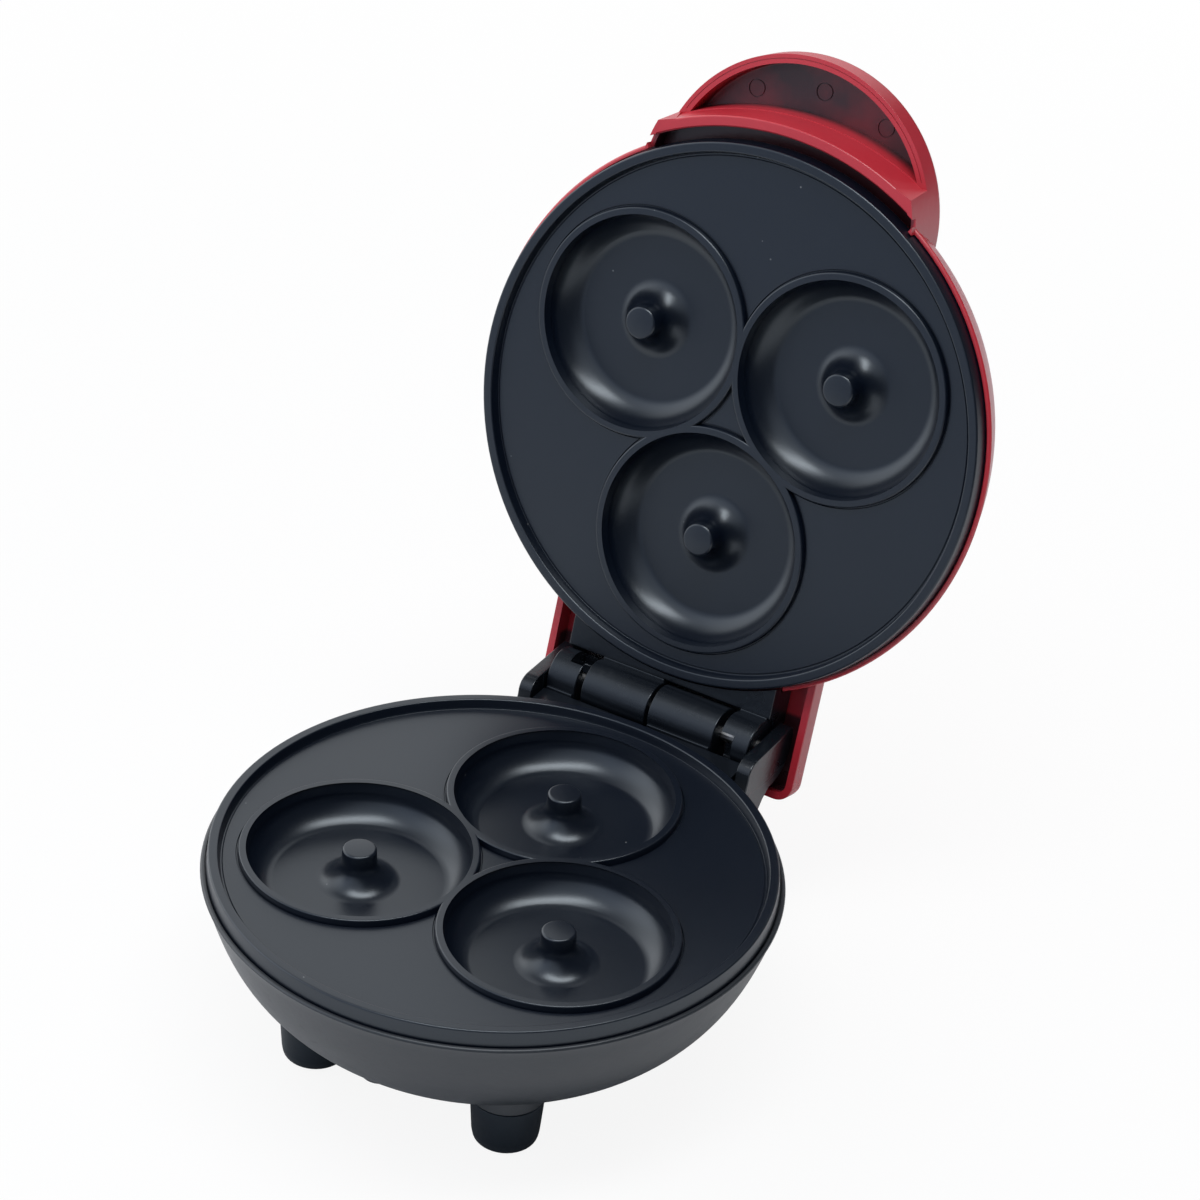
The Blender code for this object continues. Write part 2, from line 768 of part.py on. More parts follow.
def neck_floor_outline():
    """The side view of the floor between the ears, which carries the hinge block."""
    front = NECK_FRONT_Y
    top = -BLOCK_DEPTH - SEAT_GAP
    back = HINGE_Y - NECK_BACK_Y_IN - SEAT_GAP
    return [
        (front, -NECK_LOW_DEPTH + SEAT_GAP),
        (front, top),
        (back, top),
        (HINGE_Y - NECK_LOW_Y_IN, -NECK_LOW_DEPTH + SEAT_GAP),
        (HINGE_Y - NECK_END_Y_IN, -NECK_END_DEPTH + SEAT_GAP),
    ]


def hinge_neck():
    """Two ears and the floor between them."""
    reach = EAR_OUTER_X - EAR_T / 4
    neck = prism("neck_floor", neck_floor_outline(), -reach, reach, axis="X")
    for side in (-1, 1):
        low, high = sorted((side * EAR_INNER_X, side * EAR_OUTER_X))
        neck = fuse(neck, prism("ear", neck_outline(), low, high, axis="X"))
    return neck


def pin_bore(radius, half_length, axis_h):
    return rod("pin_bore", radius, -half_length, half_length, (HINGE_Y, axis_h), axis="X")


def base_housing():
    """The bowl with its hinge neck, foot pads, posts and cord outlet."""
    body = fuse(bowl_outer(), hinge_neck())
    for centre in foot_centres().values():
        body = fuse(body, rod("foot_pad", FOOT_PAD_R, FOOT_PAD_H_IN_BASE, -FOOT_PAD_TOP_DEPTH, centre))
    outlet = (0, -OUTLET_DEPTH)
    boss = rod("outlet_boss", OUTLET_BOSS_R, OUTLET_BOSS_START_Y, OUTLET_BOSS_END_Y, outlet, axis="Y")
    body = fuse(body, boss)
    body = cut(body, bowl_inner(), lip_notch())
    body = fuse(body, *plate_posts())
    for centre in foot_centres().values():
        if centre[1] < 0:
            top = BOWL_END_H + WALL + FOOT_BOSS_L
            body = fuse(body, post(centre, inside_floor_h(), top, FOOT_BOSS_R))
    for centre in boss_centres():
        seat = plate_screw_seat_h()
        body = cut(body, rod("head_hole", HEAD_HOLE_R, BOWL_END_H - CUT_OVERRUN, seat, centre))
        end = CUT_OVERRUN - BOSS_END_DEPTH
        body = cut(body, rod("post_hole", SCREW_HOLE_R, seat - CUT_OVERRUN, end, centre))
    for centre in foot_centres().values():
        top = FOOT_PAD_H_IN_BASE + FOOT_BOSS_L
        body = cut(body, rod("foot_hole", SCREW_HOLE_R, FOOT_PAD_H_IN_BASE - CUT_OVERRUN, top, centre))
    seat = HINGE_SCREW_SEAT_H
    for side in (-1, 1):
        centre = (side * HINGE_SCREW_X, HINGE_SCREW_Y)
        body = cut(body, rod("hinge_head_hole", HEAD_HOLE_R, BOWL_END_H, seat, centre))
        body = cut(body, rod("hinge_hole", SCREW_HOLE_R, seat - CUT_OVERRUN, seat + CUT_OVERRUN, centre))
    body = cut(body, pin_bore(PIN_R + PIN_GAP, EAR_INNER_X + PIN_IN_EAR + PIN_GAP, AXIS_IN_BASE))
    start = OUTLET_BOSS_START_Y - CUT_OVERRUN
    end = OUTLET_BOSS_END_Y + CUT_OVERRUN
    return cut(body, rod("outlet_hole", GLAND_R + SEAT_GAP, start, end, outlet, axis="Y"))


# Hinge.


def knuckle_outline(axis_h):
    """A knuckle and the web that roots it in the block, in (y, height)."""
    outline = arc_points((HINGE_Y, axis_h), KNUCKLE_R, KNUCKLE_FROM, KNUCKLE_TO, 3 * ARC_STEPS)
    outline.append((LIP_R + 2 * SEAT_GAP, -BLOCK_DEPTH * WEB_FRONT_SHARE))
    outline.append((HINGE_Y - KNUCKLE_R * WEB_BACK_SHARE, -BLOCK_DEPTH * WEB_DEPTH_SHARE))
    return outline


def block_front():
    """The space of the bowl and the plate in front of a block, with a step for the lip's notch."""
    low = -BLOCK_DEPTH - CUT_OVERRUN
    profile = [
        (0, low),
        (LIP_R + SEAT_GAP, low),
        (LIP_R + SEAT_GAP, LEDGE_H),
        (LIP_INNER_R, LEDGE_H),
        (LIP_INNER_R, CUT_OVERRUN),
        (0, CUT_OVERRUN),
    ]
    return turned("block_front", profile, BOWL_STEPS)


def knuckle_slot(axis_h, low, high):
    """The core slot over the pin at an outer knuckle's inner end."""
    start = (low, HINGE_Y - SLOT_FRONT, axis_h + SLOT_FLOOR)
    return box("slot", start, (high, HINGE_Y + SLOT_BACK, axis_h + KNUCKLE_R + CUT_OVERRUN))


def hinge_block(axis_h, spans, slot):
    """A block behind the lip that carries two knuckles and cradles the other half's knuckles."""
    cradle_r = KNUCKLE_R + CRADLE_GAP
    start = math.pi + math.asin((axis_h - BLOCK_FACE_H) / cradle_r)
    front = NECK_FRONT_Y
    back = HINGE_Y + cradle_r * math.cos(CRADLE_TO)
    outline = [(front, -BLOCK_DEPTH), (front, BLOCK_FACE_H)]
    outline += arc_points((HINGE_Y, axis_h), cradle_r, start, CRADLE_TO)
    outline += [(back, -BLOCK_DEPTH * WEB_DEPTH_SHARE), (back - KNUCKLE_R * BLOCK_HEEL_SHARE, -BLOCK_DEPTH)]
    block = prism("block", outline, -BLOCK_HALF, BLOCK_HALF, axis="X")
    block = cut(block, block_front())
    for low, high in spans:
        block = fuse(block, prism("knuckle", knuckle_outline(axis_h), low, high, axis="X"))
    block = cut(block, knuckle_slot(axis_h, *slot))
    block = cut(block, pin_bore(PIN_R + PIN_GAP, BLOCK_HALF + CUT_OVERRUN, axis_h))
    for side in (-1, 1):
        centre = (side * HINGE_SCREW_X, HINGE_SCREW_Y)
        tip = -HINGE_SCREW_TIP_DEPTH + SCREW_TIP_GAP
        block = cut(block, rod("block_hole", SCREW_HOLE_R, -BLOCK_DEPTH - CUT_OVERRUN, tip, centre))
    return block


def base_hinge_block():
    """Outer left and inner right knuckles."""
    slot = (-OUTER_FROM - SLOT_L, -OUTER_FROM + OUTER_KNUCKLE_GAP / 2)
    return hinge_block(AXIS_IN_BASE, [(-OUTER_TO, -OUTER_FROM), (INNER_FROM, INNER_TO)], slot)


def lid_hinge_block():
    """Inner left and outer right knuckles."""
    slot = (OUTER_FROM - OUTER_KNUCKLE_GAP / 2, OUTER_FROM + SLOT_L)
    return hinge_block(AXIS_IN_LID, [(-INNER_TO, -INNER_FROM), (OUTER_FROM, OUTER_TO)], slot)


def hinge_pin():
    half = EAR_INNER_X + PIN_IN_EAR
    return rod("pin", PIN_R, -half, half, (HINGE_Y, AXIS_IN_BASE), axis="X")


# Lid cover.


def tail_outline(side_x, end_y, corner_r):
    """The plan of the tail, with round rear corners."""
    front = LIP_R * TAIL_FRONT_SHARE
    right = arc_points((side_x - corner_r, end_y - corner_r), corner_r, 0, math.pi / 2, ARC_STEPS // 2)
    left = [(-x, y) for x, y in reversed(right)]
    return [(side_x, front)] + right + left + [(-side_x, front)]


def lid_tail():
    """The channel's outer form, round along its top edges."""
    outline = tail_outline(TAIL_OUTER_X, TAIL_END_Y, TAIL_CORNER_R)
    tail = prism("tail", outline, -TAIL_TOP_DEPTH, -TAIL_RIM_DEPTH)
    return round_edges(tail, lambda p: p.z < -TAIL_TOP_DEPTH + MERGE, TAIL_ROUND)


def tail_space():
    """The room in the channel for the hinge block and the base's ears."""
    outline = tail_outline(TAIL_INNER_X, TAIL_END_Y - TAIL_WALL, TAIL_CORNER_R - TAIL_WALL)
    outline[0] = (TAIL_INNER_X, 0)
    outline[-1] = (-TAIL_INNER_X, 0)
    return prism("tail_space", outline, -TAIL_TOP_DEPTH + TAIL_WALL, CUT_OVERRUN)


def lid_channel():
    """The tail as a channel that is open towards the base."""
    return cut(lid_tail(), tail_space())


def arc_wall(name, extra=0.0):
    """The drafted drum that the arc lip and the pocket's inner wall lie on."""
    low = -POCKET_FLOOR_DEPTH - CUT_OVERRUN
    draft = ARC_DRAFT * (POCKET_FLOOR_DEPTH + CUT_OVERRUN + ARC_TOP_H) / POCKET_FLOOR_DEPTH
    end = ARC_OUTER_R + extra
    return rod(name, end + draft, low, ARC_TOP_H, top_radius=end, steps=2 * BOWL_STEPS)


def front_sector(low, high, half_angle):
    """A wedge in front of the plate's middle."""
    reach = 2 * LIP_R
    left = (-reach * math.sin(half_angle), -reach * math.cos(half_angle))
    right = (-left[0], left[1])
    return prism("front_sector", [(0, 0), left, right], low, high)


def arc_lip():
    """A thick lip along the front edge, as wide as the handle behind it."""
    low = -POCKET_FLOOR_DEPTH
    centre = (0, HANDLE_CENTRE_Y)
    side = rod("arc_side", HANDLE_R + ARC_SIDE_OUT, low, CUT_OVERRUN, centre, steps=BOWL_STEPS)
    lip = common(arc_wall("arc_drum"), side)
    return cut(lip, rod("arc_back", LIP_R - ARC_ROOT_IN, low - CUT_OVERRUN, CUT_OVERRUN, steps=BOWL_STEPS))


def arc_recess():
    """The deep groove between the plate's rim and the arc lip, where the bowl has no lip."""
    inner = LIP_INNER_R - NOTCH_WALL_IN
    groove = ring("arc_groove", inner, ARC_INNER_R, -ARC_GAP_DEPTH, CUT_OVERRUN)
    return common(groove, front_sector(-ARC_GAP_DEPTH - CUT_OVERRUN, 2 * CUT_OVERRUN, ARC_RECESS_HALF_ANGLE))


def handle_solid():
    """The D-shaped handle's outer form."""
    centre = (0, HANDLE_CENTRE_Y)
    grip = rod("grip", HANDLE_R, -HANDLE_TOP_DEPTH, -HANDLE_RIM_DEPTH, centre, steps=BOWL_STEPS)
    return round_edges(grip, lambda p: p.z < -HANDLE_TOP_DEPTH + MERGE, HANDLE_ROUND)


def handle_pocket():
    """The finger space in the handle, open towards the plates."""
    centre = (0, HANDLE_CENTRE_Y)
    radius = HANDLE_R - HANDLE_WALL
    end = CUT_OVERRUN - HANDLE_RIM_DEPTH
    pocket = rod("pocket", radius, -POCKET_FLOOR_DEPTH, end, centre, steps=BOWL_STEPS)
    return cut(pocket, arc_wall("pocket_drum", SEAT_GAP))


def lid_cover():
    """The dome with the tail, the arc lip and the handle."""
    body = fuse(bowl_outer(), lid_channel(), handle_solid(), arc_lip())
    body = cut(body, handle_pocket(), bowl_inner(), arc_recess(), lip_notch())
    body = fuse(body, *plate_posts())
    lens_hole = rod(
        "lens_hole", LENS_R + SEAT_GAP, BOWL_END_H - CUT_OVERRUN, BOWL_END_H + CUT_OVERRUN, (0, LENS_Y)
    )
    return cut(body, lens_hole)


# Heating parts.


def heating_element():
    """A tubular element bent to an open ring."""
    start = math.pi / 2 + ELEMENT_OPEN_ANGLE / 2
    turn = 2 * math.pi - ELEMENT_OPEN_ANGLE
    steps = 2 * ARC_STEPS + 2
    ring = [around(ELEMENT_RING_R, start + turn * i / steps) for i in range(steps + 1)]
    points = [(x, y, ELEMENT_H) for x, y in ring]
    return tube("element", points, ELEMENT_R)


def heat_shield():
    """A pressed steel dish that holds the element against the plate."""
    flange_top = SHIELD_TOP_H + SHIELD_FLANGE_H
    profile = [
        (SHIELD_R - SHIELD_T, flange_top),
        (SHIELD_R, flange_top),
        (SHIELD_R, SHIELD_END_H),
        (SCREW_HOLE_R, SHIELD_END_H),
        (SCREW_HOLE_R, SHIELD_TOP_H),
        (SHIELD_R - SHIELD_T, SHIELD_TOP_H),
    ]
    return turned("shield", profile, CAVITY_STEPS, closed=True)


def screw(seat_h, tip_h, centre):
    """A screw driven upwards, its head below the seat."""
    top = seat_h - SEAT_GAP
    profile = [
        (0, tip_h),
        (SHANK_R, tip_h),
        (SHANK_R, top),
        (HEAD_R, top),
        (HEAD_R, top - HEAD_H),
        (0, top - HEAD_H),
    ]
    return turned("screw", profile, SCREW_STEPS, centre)


def shield_screw():
    return screw(SHIELD_END_H, SHIELD_TOP_H + SEAT_GAP + CENTRE_SCREW_IN, (0, 0))


def plate_screw(centre):
    tip = -BOSS_END_DEPTH + CENTRE_SCREW_IN - SCREW_TIP_GAP
    return screw(plate_screw_seat_h(), tip, centre)


def hinge_screw(side):
    return screw(HINGE_SCREW_SEAT_H, -HINGE_SCREW_TIP_DEPTH, (side * HINGE_SCREW_X, HINGE_SCREW_Y))


def thermostat():
    """A bimetal disc thermostat against the plate, between two cavities."""
    centre = around(THERMOSTAT_RING_R, THERMOSTAT_ANGLE)
    top = -PLATE_T - SEAT_GAP
    profile = [
        (0, top),
        (THERMOSTAT_CAP_R, top),
        (THERMOSTAT_CAP_R, top - THERMOSTAT_CAP_H),
        (THERMOSTAT_R, top - THERMOSTAT_CAP_H),
        (THERMOSTAT_R, top - THERMOSTAT_H),
        (0, top - THERMOSTAT_H),
    ]
    return turned("thermostat", profile, SMALL_STEPS, centre)


def thermal_fuse():
    """A small cylinder against the plate, square to the radius."""
    middle = Vector(around(FUSE_RING_R, FUSE_ANGLE))
    along = Vector((-math.sin(FUSE_ANGLE), math.cos(FUSE_ANGLE))) * FUSE_L / 2
    height = -PLATE_T - SEAT_GAP - FUSE_R
    start = middle - along
    end = middle + along
    return tube("fuse", [(*start, height), (*middle, height), (*end, height)], FUSE_R)


# Supply parts.


def terminal_block():
    """A ceramic block on the bowl's floor, with its wire ways from above."""
    floor = BOWL_END_H + WALL + SEAT_GAP
    half = TERMINAL_W / 2
    low = (-half, TERMINAL_Y - TERMINAL_D / 2, floor)
    block = box("terminal", low, (half, TERMINAL_Y + TERMINAL_D / 2, floor + TERMINAL_H))
    pitch = TERMINAL_W / TERMINAL_WAYS
    for i in range(TERMINAL_WAYS):
        centre = (pitch * (i + 0.5) - half, TERMINAL_Y)
        bottom = floor + TERMINAL_H - TERMINAL_WAY_DEPTH
        block = cut(block, rod("way", TERMINAL_WAY_R, bottom, floor + TERMINAL_H + CUT_OVERRUN, centre))
    return block


def cord_gland():
    """A flanged bush in the rear outlet, with the cord's bore through it."""
    flange_from = OUTLET_BOSS_END_Y + SEAT_GAP
    flange_to = flange_from + GLAND_FLANGE_T
    outlet = (0, -OUTLET_DEPTH)
    start = OUTLET_BOSS_START_Y - GLAND_IN_L
    gland = rod("gland", GLAND_R, start, flange_to, outlet, axis="Y")
    gland = fuse(gland, rod("gland_flange", GLAND_FLANGE_R, flange_from, flange_to, outlet, axis="Y"))
    return cut(
        gland, rod("gland_bore", GLAND_BORE_R, start - CUT_OVERRUN, flange_to + CUT_OVERRUN, outlet, axis="Y")
    )


# Feet.


def foot(centre):
    """A tapered foot with a round lower edge and a recess for its screw."""
    top = CLEAR_UNDER_BOWL - FOOT_PAD_H - SEAT_GAP
    edge = arc_points(
        (FOOT_END_R - FOOT_ROUND, FOOT_ROUND), FOOT_ROUND, 0, -math.pi / 2, ARC_STEPS // 2
    )
    profile = [(0, top), (FOOT_TOP_R, top)] + edge + [(0, 0)]
    body = turned("foot", profile, FOOT_STEPS, centre)
    body = cut(body, rod("recess", HEAD_HOLE_R, -CUT_OVERRUN, FOOT_SEAT_H, centre))
    return cut(body, rod("foot_bore", SCREW_HOLE_R, 0, top + CUT_OVERRUN, centre))


def foot_screw(centre):
    tip = CLEAR_UNDER_BOWL - FOOT_PAD_H + FOOT_BOSS_L - SCREW_TIP_GAP
    return screw(FOOT_SEAT_H, tip, centre)


# Indicator.


def indicator_lens():
    """A lens that stands a little proud of the lid, held by a flange inside."""
    outside = BOWL_END_H - LENS_PROUD
    flange_end = BOWL_END_H + WALL + SEAT_GAP
    profile = [
        (0, flange_end + LENS_FLANGE_T),
        (LENS_FLANGE_R, flange_end + LENS_FLANGE_T),
        (LENS_FLANGE_R, flange_end),
        (LENS_R, flange_end),
        (LENS_R, outside + LENS_PROUD / 2),
        (LENS_R * LENS_TOP_SHARE, outside),
        (0, outside),
    ]
    return turned("lens", profile, SMALL_STEPS, (0, LENS_Y))


def indicator_lamp():
    start = BOWL_END_H + WALL + SEAT_GAP + LENS_FLANGE_T + SEAT_GAP
    return rod("lamp", LAMP_R, start, start + LAMP_L, (0, LENS_Y))


# Both halves.


def build_base():
    place_in_base(base_housing(), "base_housing", black_plastic())
    place_in_base(base_hinge_block(), "base_hinge_block", black_plastic())
    place_in_base(baking_plate(), "base_plate", dark_plate())
    place_in_base(heating_element(), "base_heating_element", element_sheath())
    place_in_base(heat_shield(), "base_heat_shield", steel())
    place_in_base(shield_screw(), "base_shield_screw", zinc())
    for number, centre in enumerate(boss_centres(), start=1):
        place_in_base(plate_screw(centre), f"plate_screw_{number}", zinc())
    place_in_base(hinge_screw(-1), "hinge_screw_left", zinc())
    place_in_base(hinge_screw(1), "hinge_screw_right", zinc())
    place_in_base(thermostat(), "base_thermostat", steel())
    place_in_base(thermal_fuse(), "thermal_fuse", pale_ceramic())
    place_in_base(terminal_block(), "terminal_block", pale_ceramic())
    place_in_base(cord_gland(), "cord_gland", foot_rubber())
    place_in_base(hinge_pin(), "hinge_pin", steel())
    for name, centre in foot_centres().items():
        place_on_table(foot(centre), name, foot_rubber())
        place_on_table(foot_screw(centre), name.replace("foot", "foot_screw"), zinc())


def build_lid():
    pivot = lid_pivot()
    place_in_lid(lid_cover(), "lid_cover", red_plastic(), pivot)
    place_in_lid(lid_hinge_block(), "lid_hinge_block", black_plastic(), pivot)
    place_in_lid(baking_plate(), "lid_plate", dark_plate(), pivot)
    place_in_lid(heating_element(), "lid_heating_element", element_sheath(), pivot)
    place_in_lid(heat_shield(), "lid_heat_shield", steel(), pivot)
    place_in_lid(shield_screw(), "lid_shield_screw", zinc(), pivot)
    place_in_lid(thermostat(), "lid_thermostat", steel(), pivot)
    place_in_lid(indicator_lens(), "indicator_lens", lens_plastic(), pivot)
    place_in_lid(indicator_lamp(), "indicator_lamp", lamp_glass(), pivot)


def stand_on_origin():
    """Moves the whole object so that the origin lies below the middle of its box."""
    bpy.context.view_layer.update()
    pieces = [o for o in PARTS.objects if o.type == "MESH"]
    places = [o.matrix_world @ v.co for o in pieces for v in o.data.vertices]
    middle_y = (min(p.y for p in places) + max(p.y for p in places)) / 2
    for obj in PARTS.objects:
        if obj.parent is None:
            obj.location.y -= middle_y


build_base()
build_lid()
stand_on_origin()
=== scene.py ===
import json
import math

import bmesh
import bpy
from mathutils import Matrix, Vector


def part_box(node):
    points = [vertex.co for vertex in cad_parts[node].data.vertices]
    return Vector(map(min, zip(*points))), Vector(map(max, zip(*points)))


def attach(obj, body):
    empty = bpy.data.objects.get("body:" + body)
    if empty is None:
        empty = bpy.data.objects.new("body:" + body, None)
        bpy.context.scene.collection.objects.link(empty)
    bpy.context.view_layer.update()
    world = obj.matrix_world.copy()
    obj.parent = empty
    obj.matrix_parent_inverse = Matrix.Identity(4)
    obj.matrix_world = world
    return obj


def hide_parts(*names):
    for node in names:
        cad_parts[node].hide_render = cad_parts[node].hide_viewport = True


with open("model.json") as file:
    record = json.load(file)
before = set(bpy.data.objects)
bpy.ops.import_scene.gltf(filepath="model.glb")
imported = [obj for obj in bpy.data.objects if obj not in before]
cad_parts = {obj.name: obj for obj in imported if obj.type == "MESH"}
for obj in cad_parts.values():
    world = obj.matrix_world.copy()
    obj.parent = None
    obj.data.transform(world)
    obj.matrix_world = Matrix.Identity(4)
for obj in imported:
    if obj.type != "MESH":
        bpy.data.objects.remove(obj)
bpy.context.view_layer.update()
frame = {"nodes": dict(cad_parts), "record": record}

# Sizes of the object in metres, the same as in the part's source. The base and the lid are each modelled in a
# frame of their own: y runs to the hinge, and heights are over the plate's field, with the bowl below it.
FIELD_Z = 0.0441
LID_FIELD_Z = 0.0485
HINGE_Z = 0.04575
HINGE_BACK = 0.0703
AXIS_IN_BASE = 0.00165
AXIS_IN_LID = LID_FIELD_Z - HINGE_Z
OPEN_ANGLE = math.radians(105.5)
PLATE_T = 0.0023

# Bowl, with the lip around the plate.
LIP_BELOW = 0.0017
LIP_INNER_R = 0.0627
LIP_R = 0.0636
LIP_ROUND = 0.0006
BOWL_DEPTH = 0.0293
BOWL_END = -LIP_BELOW - BOWL_DEPTH
BOWL_TAPER = 0.1415
BOWL_CURVE = 0.1521
BOWL_CURVE_POWER = 3.41
WALL = 0.0020

# Tail, arc lip and handle of the lid. Its top is the low end of its frame.
TAIL_INNER = 0.0323
TAIL_OUTER = 0.0341
TAIL_FRONT = 0.038
TAIL_END = 0.0836
TAIL_TOP = -0.0107
TAIL_RIM = -0.0038
TAIL_WALL = 0.0018
TAIL_CORNER_R = 0.0042
TAIL_ROUND = 0.0030
ARC_INNER_R = 0.06515
ARC_OUTER_R = 0.06765
ARC_TOP = 0.0001
ARC_DRAFT = 0.0012
ARC_HALF_ANGLE = 31.5
ARC_GROOVE_FLOOR = -0.0064
HANDLE_Y = -0.0483
HANDLE_R = 0.0340
HANDLE_RIM = -0.0086
HANDLE_TOP = -0.0166
HANDLE_ROUND = 0.0025
POCKET_R = 0.0319
POCKET_FLOOR = -0.0144

# The space between seated pieces, how far cutters reach past what they cut, and a reach for comparing.
GAP = 0.0003
OVER = 0.006
NEAR = 1e-6

# The ledge in the bowl that carries the plate: height, width and thickness.
LEDGE_H = -PLATE_T - GAP
LEDGE_W = 0.0016
LEDGE_T = 0.0022

# Steps of round shapes.
BOWL_STEPS = 160
HANDLE_STEPS = 160
POCKET_STEPS = 120
CAVITY_STEPS = 128
SMALL_STEPS = 40

# Edges sharper than these angles, in radians, are rounded on extruded outlines and on finished solids.
SHARP_ON_PRISM = math.radians(40)
SHARP_ON_SOLID = 0.5


# Placing.

plate_low, plate_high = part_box("base_plate")
MIDDLE_Y = (plate_low.y + plate_high.y) / 2

TO_BASE = Matrix.Translation((0, MIDDLE_Y, FIELD_Z))
TO_TABLE = Matrix.Translation((0, MIDDLE_Y, 0))
TO_LID = (
    Matrix.Translation((0, MIDDLE_Y + HINGE_BACK, HINGE_Z))
    @ Matrix.Rotation(-OPEN_ANGLE, 4, "X")
    @ Matrix.Translation((0, -HINGE_BACK, AXIS_IN_LID))
    @ Matrix.Diagonal((1, 1, -1, 1))
)


# Solids.


def tool_object(name, data):
    obj = bpy.data.objects.new(name, data)
    bpy.context.scene.collection.objects.link(obj)
    return obj


def from_bmesh(name, bm):
    mesh = bpy.data.meshes.new(name)
    bm.to_mesh(mesh)
    bm.free()
    return tool_object(name, mesh)


def applied(obj):
    """Replaces an object by its evaluated mesh."""
    bpy.context.view_layer.update()
    graph = bpy.context.evaluated_depsgraph_get()
    mesh = bpy.data.meshes.new_from_object(obj.evaluated_get(graph))
    name = obj.name
    bpy.data.objects.remove(obj, do_unlink=True)
    return tool_object(name, mesh)


def combine(obj, other, operation):
    modifier = obj.modifiers.new("combine", "BOOLEAN")
    modifier.operation = operation
    modifier.solver = "EXACT"
    modifier.object = other
    made = applied(obj)
    bpy.data.objects.remove(other, do_unlink=True)
    return made


def fuse(obj, *others):
    for other in others:
        obj = combine(obj, other, "UNION")
    return obj


def cut(obj, *others):
    for other in others:
        obj = combine(obj, other, "DIFFERENCE")
    return obj


def common(obj, other):
    return combine(obj, other, "INTERSECT")


def filleted(corners, steps=5):
    """Turns (u, v, radius) corners into outline points, each corner rounded by its radius."""
    most = 0.48  # of a side's length, so that the roundings of its two ends stay apart
    points = []
    count = len(corners)
    for i, (u, v, radius) in enumerate(corners):
        here = Vector((u, v))
        if radius <= 0 or i in (0, count - 1):
            points.append((u, v))
            continue
        before = Vector(corners[i - 1][:2]) - here
        after = Vector(corners[(i + 1) % count][:2]) - here
        half = before.angle(after) / 2
        reach = min(radius / math.tan(half), before.length * most, after.length * most)
        start = here + before.normalized() * reach
        end = here + after.normalized() * reach
        for k in range(steps + 1):
            t = k / steps
            p = start * (1 - t) ** 2 + here * (2 * t * (1 - t)) + end * t**2
            points.append((p.x, p.y))
    return points


def turned(name, profile, steps, centre=(0, 0), closed=False, phase=0.0, axis="Z"):
    """Turns (radius, height) points about an axis through a centre. A closed profile makes a ring."""
    bm = bmesh.new()
    rings = []
    for radius, height in profile:
        if radius < NEAR:
            rings.append([bm.verts.new((0, 0, height))])
            continue
        ring = []
        for i in range(steps):
            angle = phase + 2 * math.pi * i / steps
            ring.append(bm.verts.new((radius * math.cos(angle), radius * math.sin(angle), height)))
        rings.append(ring)
    pairs = list(zip(rings, rings[1:]))
    if closed:
        pairs.append((rings[-1], rings[0]))
    for a, b in pairs:
        for i in range(steps):
            j = (i + 1) % steps
            if len(a) == 1:
                bm.faces.new((a[0], b[i], b[j]))
            elif len(b) == 1:
                bm.faces.new((a[i], b[0], a[j]))
            else:
                bm.faces.new((a[i], b[i], b[j], a[j]))
    bmesh.ops.recalc_face_normals(bm, faces=bm.faces)
    if axis == "Y":
        place = Matrix.Translation((centre[0], 0, centre[1])) @ Matrix.Rotation(-math.pi / 2, 4, "X")
    elif axis == "X":
        place = Matrix.Translation((0, centre[0], centre[1])) @ Matrix.Rotation(math.pi / 2, 4, "Y")
    else:
        place = Matrix.Translation((centre[0], centre[1], 0))
    bmesh.ops.transform(bm, verts=bm.verts, matrix=place)
    return from_bmesh(name, bm)


def rod(name, radius, low, high, centre=(0, 0), steps=SMALL_STEPS, edge=0.0, axis="Z"):
    """A round bar with slightly rounded ends."""
    corners = [(0, high, 0), (radius, high, edge), (radius, low, edge), (0, low, 0)]
    return turned(name, filleted(corners, 3), steps, centre, axis=axis)


def bevel(bm, edges, width, segments):
    bmesh.ops.bevel(
        bm, geom=edges, offset=width, segments=segments, profile=0.5, affect="EDGES", clamp_overlap=True
    )


def prism(name, outline, low, high, axis="Z", edge=0.0):
    """Extrudes a flat outline and rounds the edges of its two ends."""
    bm = bmesh.new()
    if axis == "Z":
        verts = [bm.verts.new((u, v, low)) for u, v in outline]
        move = Vector((0, 0, high - low))
    else:
        verts = [bm.verts.new((low, u, v)) for u, v in outline]
        move = Vector((high - low, 0, 0))
    face = bm.faces.new(verts)
    grown = bmesh.ops.extrude_face_region(bm, geom=[face])
    tops = [g for g in grown["geom"] if isinstance(g, bmesh.types.BMVert)]
    bmesh.ops.translate(bm, verts=tops, vec=move)
    bmesh.ops.recalc_face_normals(bm, faces=bm.faces)
    if edge:
        bevel(bm, [e for e in bm.edges if e.calc_face_angle(0) > SHARP_ON_PRISM], edge, 3)
    return from_bmesh(name, bm)


def round_edges(obj, chosen, width, segments):
    """Rounds the sharp edges whose two ends are both chosen."""
    bm = bmesh.new()
    bm.from_mesh(obj.data)
    ends = [e for e in bm.edges if all(chosen(v.co) for v in e.verts)]
    bevel(bm, [e for e in ends if e.calc_face_angle(0) > SHARP_ON_SOLID], width, segments)
    bm.to_mesh(obj.data)
    bm.free()
    return obj


def arc_points(centre, radius, start, end, steps):
    return [
        (
            centre[0] + radius * math.cos(start + (end - start) * i / steps),
            centre[1] + radius * math.sin(start + (end - start) * i / steps),
        )
        for i in range(steps + 1)
    ]


def around(radius, degrees):
    """A point on a circle around the plate's middle."""
    return (radius * math.cos(math.radians(degrees)), radius * math.sin(math.radians(degrees)))


